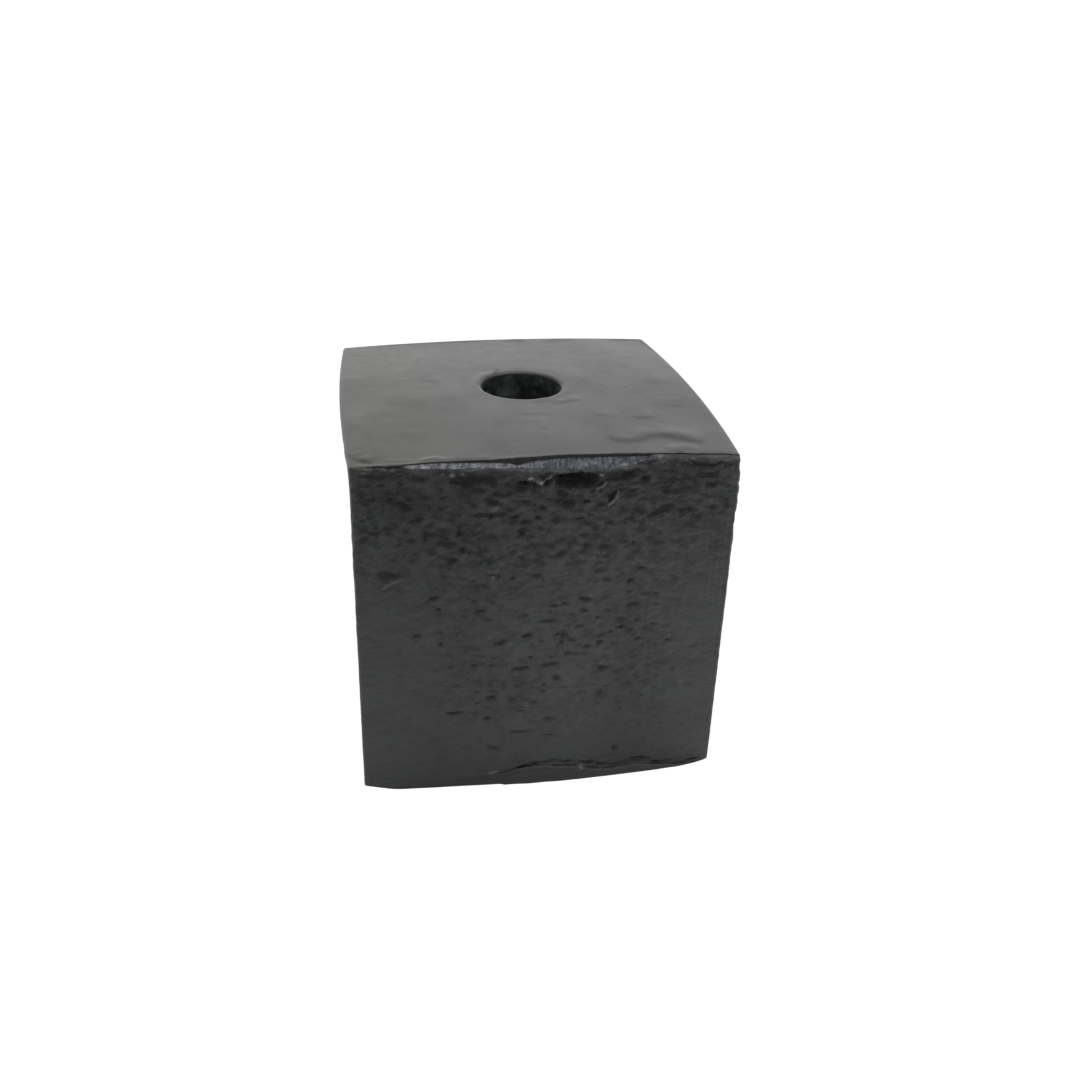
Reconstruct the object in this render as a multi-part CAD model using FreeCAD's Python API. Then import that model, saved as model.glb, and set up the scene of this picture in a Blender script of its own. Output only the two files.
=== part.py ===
import FreeCAD, Part
import math
import os

# Square block of pressed charcoal, cored by a hole from top to underside and closed in by a thin
# black skin: a cap over the top, a band round the four sides and a sheet under the base.
# Frame: origin at the middle of the underside, +Z up, -Y towards the pitted front face,
# +X to the right as the front is faced. All lengths in millimetres.

os.makedirs("parts", exist_ok=True)
V = FreeCAD.Vector

# Overall form. The front is flat; the other three sides bow out between their corners.
WIDTH = 50.0
DEPTH = 50.6
CORNER_HEIGHT = 49.7
BOW_LEFT = 0.85
BOW_RIGHT = 1.05
BOW_BACK = 1.0
CROWN = 1.0
EDGE_ROUND = 0.6
RIM_ROUND = 0.3

# The hole stands a little behind the middle.
BORE_DIAMETER = 11.7
BORE_X = 0.45
BORE_Y = 1.65

# Skin thickness, and the lip of the base sheet where it was squeezed out and up the front. The
# lip ends short of the right-hand corner.
SKIN = 0.4
LIP_LENGTH = 28.0
LIP_END_GAP = 1.8
LIP_HEIGHT = 2.8
LIP_REACH = 1.2

# Flakes lost from the top front edge: middle (across from the centre line), length and depth.
FLAKES = [(-11.8, 14.6, 0.50), (4.3, 17.4, 1.00), (19.6, 13.0, 0.62)]
# Bigger hollows in the front face: across from the centre line, down from the top corners,
# radius, depth.
HOLLOWS = [
    (2.2, 2.5, 1.4, 0.60),
    (4.3, 2.7, 1.5, 0.80),
    (-1.2, 3.1, 1.1, 0.30),
    (6.7, 3.3, 0.8, 0.25),
    (8.3, 5.2, 1.2, 0.30),
    (14.8, 7.4, 1.4, 0.30),
    (-20.8, 15.2, 1.7, 0.32),
    (7.5, 12.2, 1.1, 0.28),
    (8.2, 31.1, 0.8, 0.32),
    (-12.3, 37.0, 1.4, 0.24),
]
# Worn bottom corners of the front: side, run along the front, run along the side, rise.
WORN_CORNERS = [(-1, 4.2, 3.0, 1.3), (1, 2.4, 2.0, 0.9)]

front_y = -DEPTH / 2
crown_radius = ((WIDTH / 2) ** 2 + (DEPTH / 2) ** 2 + CROWN**2) / (2 * CROWN)


def top_height(x, y):
    """Height of the crowned top above the underside."""
    centre = CORNER_HEIGHT + CROWN - crown_radius
    return centre + math.sqrt(crown_radius**2 - x**2 - y**2)


def column(inset, low, high):
    """Upright solid with the block's bowed outline, drawn in by inset all round."""
    x = WIDTH / 2 - inset
    y = DEPTH / 2 - inset
    corners = [V(-x, -y, low), V(x, -y, low), V(x, y, low), V(-x, y, low)]
    right = Part.Arc(corners[1], V(x + BOW_RIGHT, 0, low), corners[2])
    back = Part.Arc(corners[2], V(0, y + BOW_BACK, low), corners[3])
    left = Part.Arc(corners[3], V(-x - BOW_LEFT, 0, low), corners[0])
    front = Part.makeLine(corners[0], corners[1])
    outline = Part.Wire([front, right.toShape(), back.toShape(), left.toShape()])
    return Part.Face(outline).extrude(V(0, 0, high - low))


def under_crown(drop):
    """Ball whose upper surface is the crowned top let down by drop; its poles lie level."""
    ball = Part.makeSphere(crown_radius)
    ball.rotate(V(0, 0, 0), V(1, 0, 0), 90)
    ball.translate(V(0, 0, CORNER_HEIGHT + CROWN - crown_radius - drop))
    return ball


def upright_edges(solid):
    """The four vertical corner edges of a column."""
    found = []
    for edge in solid.Edges:
        box = edge.BoundBox
        if box.ZLength > 5 and box.XLength < 0.01 and box.YLength < 0.01:
            found.append(edge)
    return found


def upper_rim(solid):
    """Every edge round the top surface: the outer edge and the mouth of the hole."""
    found = []
    for edge in solid.Edges:
        if edge.BoundBox.ZMin > CORNER_HEIGHT - 1:
            found.append(edge)
    return found


def bore():
    """Plug the size of the hole, right through the block."""
    return Part.makeCylinder(BORE_DIAMETER / 2, CORNER_HEIGHT + 10, V(BORE_X, BORE_Y, -5))


def flake(middle, length, depth):
    """Long flake split off the top front edge: a sloping floor with slanted ends."""
    edge = V(middle, front_y, top_height(middle, front_y))
    inward = V(0, 1, -1).normalize()
    across = V(0, 1, 1).normalize()
    half = length / 2
    ends = [(-half, 0), (-half + 0.8, depth), (half - 1.6, depth), (half, 0)]
    ends += [(half, -3), (-half, -3)]
    points = [edge + V(u, 0, 0) + inward * v - across * 4 for u, v in ends]
    face = Part.Face(Part.makePolygon(points + [points[0]]))
    return face.extrude(across * 8)


def hollow(across, down, radius, depth):
    """Shallow round-bottomed hollow in the front face."""
    ball = (radius**2 + depth**2) / (2 * depth)
    return Part.makeSphere(ball, V(across, front_y + depth - ball, CORNER_HEIGHT - down))


def worn_corner(side, along_front, along_side, rise):
    """Everything outside a slanted plane across a bottom corner of the front."""
    corner = V(side * WIDTH / 2, front_y, 0)
    normal = V(side / along_front, -1 / along_side, -1 / rise).normalize()
    slab = Part.makeBox(16, 16, 6, V(-8, -8, 0))
    slab.Placement = FreeCAD.Placement(
        corner - V(side * along_front, 0, 0),
        FreeCAD.Rotation(V(0, 0, 1), normal),
    )
    return slab


def lip():
    """Ragged edge of the base sheet, turned up against the foot of the front face."""
    start = WIDTH / 2 - LIP_END_GAP - LIP_LENGTH
    outline = [
        (0, 0),
        (0, 0.85),
        (0.04, 1),
        (0.20, 0.95),
        (0.36, 0.8),
        (0.50, 0.5),
        (0.70, 0.6),
        (0.85, 0.28),
        (1, 0),
    ]
    points = [V(start + u * LIP_LENGTH, front_y, v * LIP_HEIGHT) for u, v in outline]
    face = Part.Face(Part.makePolygon(points + [points[0]]))
    return face.extrude(V(0, -LIP_REACH, 0))


# The whole block with its hole, edges softened, before it is told apart into its pieces.
tall = CORNER_HEIGHT + 2 * CROWN + 5
block = column(0, 0, tall)
block = block.makeFillet(EDGE_ROUND, upright_edges(block))
block = block.common(under_crown(0)).cut(bore())
block = block.makeFillet(RIM_ROUND, upper_rim(block))

# What lies under the cap, above the base sheet, and inside the side band.
beneath_cap = column(-5, SKIN, tall).common(under_crown(SKIN))
heart = column(SKIN, SKIN, tall)
heart = heart.makeFillet(max(EDGE_ROUND - SKIN, 0.1), upright_edges(heart))
middle = block.common(beneath_cap)

nodes = {
    "core": middle.common(heart),
    "side_skin": middle.cut(heart),
    "top_skin": block.cut(under_crown(SKIN)),
    "base_skin": block.common(column(-5, 0, SKIN)).fuse(lip()),
}

damage = [flake(*row) for row in FLAKES]
damage += [hollow(*row) for row in HOLLOWS]
damage += [worn_corner(*row) for row in WORN_CORNERS]

for name, shape in nodes.items():
    piece = shape.cut(damage).removeSplitter()
    solid = max(piece.Solids, key=lambda s: s.Volume)
    print(name, len(piece.Solids), round(solid.Volume / 1000, 3), solid.isValid())
    solid.exportStep("parts/" + name + ".step")
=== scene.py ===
import math

import bpy
import numpy as np
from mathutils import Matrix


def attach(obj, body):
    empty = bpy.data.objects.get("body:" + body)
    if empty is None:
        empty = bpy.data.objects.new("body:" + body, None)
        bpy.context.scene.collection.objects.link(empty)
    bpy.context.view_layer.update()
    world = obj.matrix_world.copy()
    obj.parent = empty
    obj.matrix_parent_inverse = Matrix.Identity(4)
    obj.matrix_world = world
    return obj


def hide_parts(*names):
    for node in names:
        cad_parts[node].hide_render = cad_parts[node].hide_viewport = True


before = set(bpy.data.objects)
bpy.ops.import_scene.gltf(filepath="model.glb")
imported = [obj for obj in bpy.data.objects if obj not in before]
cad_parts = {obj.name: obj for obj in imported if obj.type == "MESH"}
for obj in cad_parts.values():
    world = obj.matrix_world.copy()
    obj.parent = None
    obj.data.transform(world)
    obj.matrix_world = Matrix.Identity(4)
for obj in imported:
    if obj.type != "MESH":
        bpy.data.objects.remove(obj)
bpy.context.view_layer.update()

# ---------------------------------------------------------------- camera
# A short lens a hand's breadth in front of the block and above it, a little to its left,
# with the slight tilt of a hand-held shot.
camera_data = bpy.data.cameras.new("camera")
camera_data.lens = 35.33
camera_data.sensor_width = 36.0
camera_data.clip_start = 0.005
camera_data.clip_end = 60.0
camera = bpy.data.objects.new("camera", camera_data)
bpy.context.collection.objects.link(camera)
forward = np.array([0.17091, 0.87168, -0.45931])
upward = np.array([0.04921, 0.45803, 0.88757])
forward /= np.linalg.norm(forward)
upward -= forward * (upward @ forward)
upward /= np.linalg.norm(upward)
rightward = np.cross(forward, upward)
place = np.eye(4)
place[:3, 0], place[:3, 1], place[:3, 2] = rightward, upward, -forward
place[:3, 3] = [-0.024506, -0.144746, 0.102085]
camera.matrix_world = place.T.tolist()
bpy.context.scene.camera = camera

# ---------------------------------------------------------------- floor and light
# White paper floor in a bright white room. The room is darker on the side the camera
# stands, so that the block's front is lit by the floor and the sky and not from ahead.
PLAIN_WHITE = 1.05  # what the camera itself sees of the paper and the room
FLOOR_REACH = 12.0


def spread(tree, source, low, high, first, last):
    """A number between two, as the source goes from low to high."""
    node = tree.nodes.new("ShaderNodeMapRange")
    for label, value in (("From Min", low), ("From Max", high), ("To Min", first), ("To Max", last)):
        node.inputs[label].default_value = value
    tree.links.new(source, node.inputs["Value"])
    return node.outputs["Result"]


def arithmetic(tree, operation, first, second):
    """A sum on two numbers that vary."""
    node = tree.nodes.new("ShaderNodeMath")
    node.operation = operation
    tree.links.new(first, node.inputs[0])
    tree.links.new(second, node.inputs[1])
    return node.outputs["Value"]


def axes(tree, kind):
    """The separate X, Y and Z of a kind of texture coordinate."""
    where = tree.nodes.new("ShaderNodeTexCoord")
    apart = tree.nodes.new("ShaderNodeSeparateXYZ")
    tree.links.new(where.outputs[kind], apart.inputs[0])
    return apart.outputs


def plain_to_camera(tree, lighting, plain, output_kind):
    """Lights the block with one shader and shows the camera a plain one."""
    path = tree.nodes.new("ShaderNodeLightPath")
    choose = tree.nodes.new("ShaderNodeMixShader")
    out = tree.nodes.new(output_kind)
    tree.links.new(path.outputs["Is Camera Ray"], choose.inputs[0])
    tree.links.new(lighting.outputs[0], choose.inputs[1])
    tree.links.new(plain.outputs[0], choose.inputs[2])
    tree.links.new(choose.outputs[0], out.inputs["Surface"])


floor_mesh = bpy.data.meshes.new("floor")
floor_corners = [(x * FLOOR_REACH, y * FLOOR_REACH, 0) for x, y in ((-1, -1), (1, -1), (1, 1), (-1, 1))]
floor_mesh.from_pydata(floor_corners, [], [(0, 1, 2, 3)])
floor = bpy.data.objects.new("floor", floor_mesh)
bpy.context.collection.objects.link(floor)

paper = bpy.data.materials.new("white paper")
paper.use_nodes = True
tree = paper.node_tree
tree.nodes.clear()
seen = tree.nodes.new("ShaderNodeEmission")
seen.inputs["Strength"].default_value = PLAIN_WHITE
lit = tree.nodes.new("ShaderNodeBsdfDiffuse")
where = axes(tree, "Object")
# The paper's colour is painted darker towards the camera and a little darker to the left. This is
# painted shade, as if less light fell on the paper there, and the block's front reflects it.
from_camera = spread(tree, where["Y"], -0.148, -0.06, 0.22, 0.88)
from_left = spread(tree, where["X"], -0.05, 0.09, 0.90, 1.12)
tree.links.new(arithmetic(tree, "MULTIPLY", from_camera, from_left), lit.inputs["Color"])
plain_to_camera(tree, lit, seen, "ShaderNodeOutputMaterial")
floor_mesh.materials.append(paper)

world = bpy.data.worlds.new("white room")
world.use_nodes = True
tree = world.node_tree
tree.nodes.clear()
room = tree.nodes.new("ShaderNodeBackground")
plain = tree.nodes.new("ShaderNodeBackground")
room.inputs["Color"].default_value = (1, 1, 1, 1)
plain.inputs["Color"].default_value = (1, 1, 1, 1)
plain.inputs["Strength"].default_value = PLAIN_WHITE
way = axes(tree, "Generated")
depthwise = spread(tree, way["Y"], -0.9, 0.6, 0.18, 1.0)
overhead = spread(tree, way["Z"], 0.3, 1.0, 0.0, 0.5)
skyline = spread(tree, way["Z"], 0.5, 0.12, 0.0, 0.75)
total = arithmetic(tree, "ADD", depthwise, overhead)
behind = arithmetic(tree, "MULTIPLY", skyline, depthwise)
tree.links.new(arithmetic(tree, "ADD", total, behind), room.inputs["Strength"])
plain_to_camera(tree, room, plain, "ShaderNodeOutputWorld")
bpy.context.scene.world = world
bpy.context.scene.view_settings.view_transform = "Standard"

soft_box = bpy.data.lights.new("soft box", "AREA")
soft_box.shape = "RECTANGLE"
soft_box.size, soft_box.size_y = 0.5, 0.4
soft_box.energy = 2.2
lamp = bpy.data.objects.new("soft box", soft_box)
bpy.context.collection.objects.link(lamp)
lamp.location = (0.12, 0.10, 0.62)
lamp.rotation_euler = (math.radians(-9), math.radians(11), 0)

# ---------------------------------------------------------------- core
# The charcoal itself: dry powder and binder pressed in a square die round a steel pin, which
# left the hole. It shows blue-grey and sparkling where the top front edge has broken away,
# and sooty inside the hole; everywhere else the skins cover it.
MM = 0.001
WIDTH, DEPTH, CORNER_HEIGHT = 50.0, 50.6, 49.7
BOW_RIGHT, BOW_BACK, BOW_LEFT, BOW_FRONT = 1.05, 1.0, 0.85, 0.65
CROWN = 0.85
TOP_LIFT, TOP_TILT_X, TOP_TILT_Y, TOP_TWIST = 0.23, 0.025, -0.03, 0.285
CORNER_ROUND = 0.5
HOLE_X, HOLE_Y, HOLE_R = 0.45, 1.65, 5.85
SKIN = 0.4
GAP = 0.02  # kept free between the core and the skins
LEAN_TOP, LEAN_SHOULDER, LEAN_FOOT = 0.13, 0.09, 0.69
front_y = -DEPTH / 2


def value_noise(a, b, size, seed):
    """Smooth random waves over a flat pair of coordinates, from -1 to 1."""
    cells = 64
    table = np.random.default_rng(seed).uniform(-1, 1, (cells, cells))
    # The shift keeps the block's middle off the table's own lines.
    a, b = a / size + 31.7, b / size + 17.3
    i, j = np.floor(a).astype(int), np.floor(b).astype(int)
    u, v = a - i, b - j
    u, v = u * u * (3 - 2 * u), v * v * (3 - 2 * v)
    i0, i1, j0, j1 = i % cells, (i + 1) % cells, j % cells, (j + 1) % cells
    low = table[i0, j0] * (1 - u) + table[i1, j0] * u
    high = table[i0, j1] * (1 - u) + table[i1, j1] * u
    return low * (1 - v) + high * v


def wave(x, size, seed):
    """Random waves along the edge alone."""
    return value_noise(x, x * 0, size, seed)


def top_z(x, y):
    """The crowned top, a little out of true from corner to corner."""
    u, v = x / (WIDTH / 2), y / (DEPTH / 2)
    crown = CROWN * (1 - (u * u + v * v) / 2)
    return CORNER_HEIGHT + crown + TOP_LIFT + TOP_TILT_X * u + TOP_TILT_Y * v + TOP_TWIST * u * v


def smooth_step(low, high, value):
    """From nought at low to one at high, easing in and out."""
    t = np.clip((value - low) / (high - low), 0, 1)
    return t * t * (3 - 2 * t)


def side_run(side, steps, inset=0.0, with_corners=False, crowd=0.0):
    """Points along one side of the block's outline, anticlockwise, with the way outwards.
    A run with corners goes round both of its corners and a little way along the next sides;
    crowd draws the points together about the middle of the side."""
    half_x, half_y = WIDTH / 2 - inset, DEPTH / 2 - inset
    ends = [(-half_x, -half_y), (half_x, -half_y), (half_x, half_y), (-half_x, half_y)]
    bows = [0.0, BOW_RIGHT, BOW_BACK, BOW_LEFT]
    outs = [(0, -1), (1, 0), (0, 1), (-1, 0)]

    def along(k, t):
        k %= 4
        a, b = np.array(ends[k]), np.array(ends[(k + 1) % 4])
        swell = bows[k] * 4 * t * (1 - t)
        return a + (b - a) * t + np.array(outs[k]) * swell

    length = [WIDTH, DEPTH, WIDTH, DEPTH]
    bend = max(CORNER_ROUND - inset, 0.15)
    stub = 0.45
    corner_steps = 7
    crowded_half = 0.29

    def corner(k):
        before = along(k - 1, 1 - bend / length[(k - 1) % 4])
        after = along(k, bend / length[k % 4])
        tip = along(k, 0.0)
        return [
            before * (1 - s) ** 2 + tip * 2 * s * (1 - s) + after * s * s
            for s in np.linspace(0, 1, corner_steps + 1)
        ]

    cut = bend / length[side]
    if with_corners:
        points = [along(side - 1, 1 - (bend + stub * f) / length[side - 1]) for f in (1, 0.5)]
        points += corner(side)
        even = np.linspace(cut, 1 - cut, 2001)
        closeness = np.cumsum(1 + crowd * (np.abs(even - 0.5) < crowded_half))
        shares = np.linspace(closeness[0], closeness[-1], steps + 1)
        points += [along(side, t) for t in np.interp(shares, closeness, even)[1:-1]]
        points += corner(side + 1)
        follow = (side + 1) % 4
        points += [along(follow, (bend + stub * f) / length[follow]) for f in (0.5, 1)]
    else:
        edge = (bend + stub) / length[side]
        points = [along(side, t) for t in np.linspace(edge, 1 - edge, steps + 1)]
    points = np.array(points)
    step = np.gradient(points, axis=0)
    step /= np.linalg.norm(step, axis=1)[:, None]
    return points, np.stack([step[:, 1], -step[:, 0]], axis=1)


def whole_outline(front_steps, side_steps, back_steps, inset=0.0):
    """The four sides as one ring of points, with the ways outwards."""
    steps = (front_steps, side_steps, back_steps, side_steps)
    front, right, back, left = (side_run(k, steps[k], inset, k % 2 == 0) for k in range(4))
    return (
        np.concatenate([front[part], right[part][1:-1], back[part], left[part][1:-1]])
        for part in (0, 1)
    )


def settle(x, y, z, deeper=0.0):
    """The lean of the right-hand side, the left side flattening below its top, the swell at
    the foot of the front, and three worn corners of the front, shared by every piece so that
    they stay in contact."""
    down = 1 - z / CORNER_HEIGHT
    lean = LEAN_TOP + LEAN_SHOULDER * smooth_step(0, 0.12, down) + LEAN_FOOT * down
    x = x + lean * np.clip(x / (WIDTH / 2), 0, 1.05)
    flatter = BOW_LEFT * smooth_step(50.3, 45.5, z) * np.clip(1 - (y / (DEPTH / 2)) ** 2, 0, 1)
    x = x + flatter * smooth_step(-6.5, -24, x)
    ahead = smooth_step(0.0, -1.0, y / (DEPTH / 2))
    across = np.clip(1 - (x / (WIDTH / 2)) ** 2, 0, 1)
    y = y - BOW_FRONT * np.clip(down, 0, 1) ** 2 * across * ahead
    # Each corner's tip, and how far along, back and up from it the wear cuts.
    corners = (
        (-WIDTH / 2, 0.0, -4.2, 2.2, 1.1),
        (WIDTH / 2 + 0.98, 0.0, 1.9, 1.1, 0.7),
        (WIDTH / 2 + 0.13, top_z(WIDTH / 2, front_y), 0.8, 1.1, -0.8),
    )
    softness, farthest = 0.05, 2.5
    for tip_x, tip_z, run, back, rise in corners:
        normal = np.array([-1 / run, 1 / back, 1 / rise])
        size = np.linalg.norm(normal)
        inside = (-(x - tip_x) / run + (y - front_y) / back + (z - tip_z) / rise - 1) / size
        inside = inside - deeper
        push = (np.sqrt(inside**2 + softness) - inside) / 2
        push = np.where(inside > farthest, 0, push)
        normal /= size
        x, y, z = x + normal[0] * push, y + normal[1] * push, z + normal[2] * push
    return x, y, z


# How the top front edge has broken, from left to right. Each row holds the place along the
# edge, how far the top skin stands back, how far down the front skin's edge lies, the
# thickness of the top skin's torn edge, the slope on the front skin's edge, whether the front
# skin still wraps the edge, and how full a bead its own edge has.
broken_edge = [
    (-25.2, 0, 0.15, 0.2, 0.12, 0, 0),
    (-24, 0.05, 0.18, 0.2, 0.14, 0, 0.5),
    (-22.6, 0.1, 0.22, 0.2, 0.15, 0, 1),
    (-21.6, 0.15, 0.25, 0.2, 0.15, 0, 1),
    (-20.6, 0.1, 0.3, 0.2, 0.15, 0, 1),
    (-19, 0.15, 0.45, 0.18, 0.12, 0, 0.25),
    (-17.5, 0.32, 0.58, 0.16, 0.12, 0, 0),
    (-14, 0.6, 0.85, 0.22, 0.12, 0, 0),
    (-11.5, 0.5, 0.92, 0.3, 0.16, 0, 0),
    (-9, 0.55, 1.02, 0.4, 0.22, 0, 0.1),
    (-6.5, 0.62, 1.17, 0.54, 0.3, 0, 0.3),
    (-5, 0.75, 1.22, 0.7, 0.36, 0, 0.5),
    (-4.2, 0.9, 1.22, 1, 0.36, 0, 0.5),
    (-3.6, 0.88, 1.26, 0.9, 0.36, 0, 0.5),
    (-2.6, 0.9, 1.42, 0.64, 0.34, 0, 0.5),
    (-0.5, 1.2, 1.45, 0.46, 0.3, 0, 0.5),
    (3, 1.4, 1.55, 0.42, 0.3, 0, 0.5),
    (6, 1.3, 1.6, 0.39, 0.3, 0, 0.5),
    (9, 1.4, 1.4, 0.36, 0.34, 0, 0.45),
    (11.2, 1.4, 1.15, 0.34, 0.4, 0, 0.3),
    (12.4, 1.3, 0.9, 0.28, 0.6, 0.35, 0),
    (13.4, 1.3, 0.7, 0.14, 1.25, 1, 0),
    (16.5, 1.35, 0.62, 0.1, 1.32, 1, 0),
    (18.6, 1.3, 0.5, 0.1, 1.28, 1, 0),
    (19.6, 1.25, 0.45, 0.1, 1.22, 1, 0),
    (22.5, 1.2, 0.42, 0.1, 1.17, 1, 0),
    (24, 1.05, 0.5, 0.1, 1, 1, 0),
    (25.4, 0.8, 0.6, 0.1, 0.75, 1, 0),
]
edge_at, set_back_at, drop_at, torn_at, slope_at, wrap_at, bead_at = zip(*broken_edge)


def set_back(x):
    """How far the top skin's torn edge stands back from the front."""
    ragged = 0.07 * wave(x, 0.9, 3) + 0.05 * wave(x, 0.35, 4)
    return np.maximum(np.interp(x, edge_at, set_back_at) + ragged, 0)


def drop(x):
    """How far the front skin's edge lies below the top."""
    ragged = 0.09 * wave(x, 1.3, 5) + 0.05 * wave(x, 0.4, 6)
    return np.maximum(np.interp(x, edge_at, drop_at) + ragged, 0.12)


def along_edge(x, table):
    """A column of the table at any place along the edge."""
    return np.interp(x, edge_at, table)


def lattice(points, ring, loop):
    """A mesh of four-sided faces over rows of points. ring joins the last column to the
    first, loop joins the last row to the first."""
    rows, columns = points.shape[:2]
    index = np.arange(rows * columns).reshape(rows, columns)
    if ring:
        index = np.concatenate([index, index[:, :1]], axis=1)
    if loop:
        index = np.concatenate([index, index[:1]], axis=0)
    quads = np.stack([index[:-1, :-1], index[:-1, 1:], index[1:, 1:], index[1:, :-1]], axis=-1)
    return points.reshape(-1, 3), quads.reshape(-1, 4)


def make_piece(name, points, ring, loop, extra=()):
    """A piece from rows of points in millimetres; extra holds further faces, such as caps."""
    verts, quads = lattice(points, ring, loop)
    mesh = bpy.data.meshes.new(name)
    mesh.from_pydata((verts * MM).tolist(), [], quads.tolist() + [list(f) for f in extra])
    mesh.update()
    piece = bpy.data.objects.new(name, mesh)
    bpy.context.collection.objects.link(piece)
    return piece


def give(mesh, name, values, kind="FLOAT"):
    """Stores a value for each of the mesh's points."""
    layer = mesh.attributes.new(name, kind, "POINT")
    field = "vector" if kind == "FLOAT_VECTOR" else "value"
    layer.data.foreach_set(field, np.ascontiguousarray(values, dtype=np.float32).ravel())


def hollow_room(x, z):
    """How much deeper than the skin the core is eaten away, behind the big hollow."""
    across = smooth_step(-4.6, -3.0, x) * smooth_step(13.5, 10.5, x)
    return 1.5 * across * smooth_step(42.6, 44.4, z)


# Section of the core from the foot of the hole up its wall, over the top, over the broken
# edge, down the outside and back under to the hole.
outline, _ = whole_outline(330, 64, 64, SKIN)
ox, oy = outline[:, 0], outline[:, 1]
on_front = smooth_step(front_y + 2.0, front_y + 0.6, oy)
angle = np.arctan2(oy - HOLE_Y, ox - HOLE_X)
WALL_TOP = 50.2
wall_z = np.concatenate([np.linspace(SKIN, 38, 30), np.linspace(38.4, WALL_TOP, 46)])
rows = []
for z in wall_z:
    bite = 0.16 * value_noise(angle * HOLE_R, np.full_like(angle, z), 2.2, 11)
    bite += 0.10 * value_noise(angle * HOLE_R, np.full_like(angle, z), 0.8, 12)
    r = HOLE_R + bite * smooth_step(WALL_TOP, 49.0, z)
    hole_x, hole_y = HOLE_X + r * np.cos(angle), HOLE_Y + r * np.sin(angle)
    rise = np.minimum(z, WALL_TOP) / WALL_TOP
    rows.append([hole_x, hole_y, rise * (top_z(hole_x, hole_y) - SKIN - GAP) + (1 - rise) * SKIN])
hole_x, hole_y = rows[-1][0], rows[-1][1]
WRAP_BACK = 0.35  # how much further in the core stays where the front skin wraps the edge
back_off = set_back(ox) * on_front
wrapped = along_edge(ox - 0.7, wrap_at)
under_edge = along_edge(ox, torn_at) * on_front + SKIN * (1 - on_front) + GAP
shoulder_y = np.maximum(oy, front_y + back_off + 0.08 + WRAP_BACK * wrapped)
shoulder_y = np.where(on_front > 0, shoulder_y, oy)
for share in (0.15, 0.4, 0.7, 0.92):
    x, y = hole_x + (ox - hole_x) * share, hole_y + (shoulder_y - hole_y) * share
    rows.append([x, y, top_z(x, y) - SKIN - GAP])
edge_z = top_z(ox, oy)
foot_y = front_y + along_edge(ox, slope_at) * (1 - wrapped) + 0.12 + WRAP_BACK * wrapped
foot_z = edge_z - np.maximum(drop(ox), SKIN + 0.1) - 0.28 - 0.5 * wrapped
shoulder_z = edge_z - np.maximum(under_edge, (SKIN + 0.1) * wrapped)
# Down the break, with splinters standing up and forward out of it.
break_steps = 18
for step in range(break_steps + 1):
    t = step / break_steps
    chip = 0.15 * value_noise(ox + t * 0.5, ox * 0 + t * 0.8, 0.75, 21)
    chip += 0.07 * value_noise(ox + t * 0.3, ox * 0 + t * 1.6, 0.33, 22)
    chip = chip * math.sin(math.pi * t) ** 0.5 * (1 - wrapped)
    y = np.where(on_front > 0, shoulder_y + (foot_y - shoulder_y) * t, oy)
    z = shoulder_z + (foot_z - shoulder_z) * t
    rows.append([ox, y - chip * on_front * 0.7, z + chip * on_front * 0.7])
for share in np.linspace(0.02, 1, 52):
    z = foot_z + (SKIN + GAP - foot_z) * share
    y = oy + (foot_y - oy) * (on_front > 0) * smooth_step(0.06, 0.0, share)
    rows.append([ox, y + on_front * hollow_room(ox, z) + GAP, z])
CORE_DEEPER = 0.3  # how far inside the skin the core stays at the worn corners
rows = [list(settle(x, y, z, CORE_DEEPER)) for x, y, z in rows]
for share in (0.8, 0.45, 0.15):
    x, y = hole_x + (ox - hole_x) * share, hole_y + (oy - hole_y) * share
    rows.append([x, y, np.full_like(x, SKIN + GAP)])
core_points = np.array([np.stack(r, axis=-1) for r in rows])
core = make_piece("core_block", core_points[::-1], True, True)
core_rows, core_columns = core_points.shape[:2]
row_number = np.repeat(np.arange(core_rows)[::-1], core_columns)
first_broken = len(wall_z) + 3
past_broken = first_broken + break_steps + 3
give(core.data, "broken", (row_number >= first_broken) & (row_number < past_broken))


def add_inputs(tree, rows):
    """Named inputs of a node group: label, kind, and the value it starts with, if any."""
    for label, kind, value in rows:
        socket = tree.interface.new_socket(label, in_out="INPUT", socket_type=kind)
        if value is not None:
            socket.default_value = value


def new_group(name, inputs, outputs):
    """An empty shader group with its named sockets."""
    group = bpy.data.node_groups.new(name, "ShaderNodeTree")
    add_inputs(group, inputs)
    for label, kind in outputs:
        group.interface.new_socket(label, in_out="OUTPUT", socket_type=kind)
    entry = group.nodes.new("NodeGroupInput")
    leave = group.nodes.new("NodeGroupOutput")
    return group, entry, leave


def noise_node(tree, coordinates, scale, detail, rough=0.6):
    """Cloudy noise over the coordinates."""
    node = tree.nodes.new("ShaderNodeTexNoise")
    node.inputs["Scale"].default_value = scale
    node.inputs["Detail"].default_value = detail
    node.inputs["Roughness"].default_value = rough
    tree.links.new(coordinates, node.inputs["Vector"])
    return node


# Fine powder grain: a height for the bump and a mask for colour, both from the place on the
# block, in three sizes of grain.
grain, entry, leave = new_group(
    "grain",
    [("Size", "NodeSocketFloat", 1.0), ("Stretch", "NodeSocketVector", (1, 1, 1))],
    [("Height", "NodeSocketFloat"), ("Mask", "NodeSocketFloat"), ("Blotch", "NodeSocketFloat")],
)
place_node = grain.nodes.new("ShaderNodeTexCoord")
sized = grain.nodes.new("ShaderNodeVectorMath")
sized.operation = "MULTIPLY"
grain.links.new(place_node.outputs["Object"], sized.inputs[0])
grain.links.new(entry.outputs["Stretch"], sized.inputs[1])
scaled = grain.nodes.new("ShaderNodeVectorMath")
scaled.operation = "SCALE"
grain.links.new(sized.outputs[0], scaled.inputs[0])
grain.links.new(entry.outputs["Size"], scaled.inputs["Scale"])
fine = noise_node(grain, scaled.outputs[0], 3200, 3)
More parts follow.
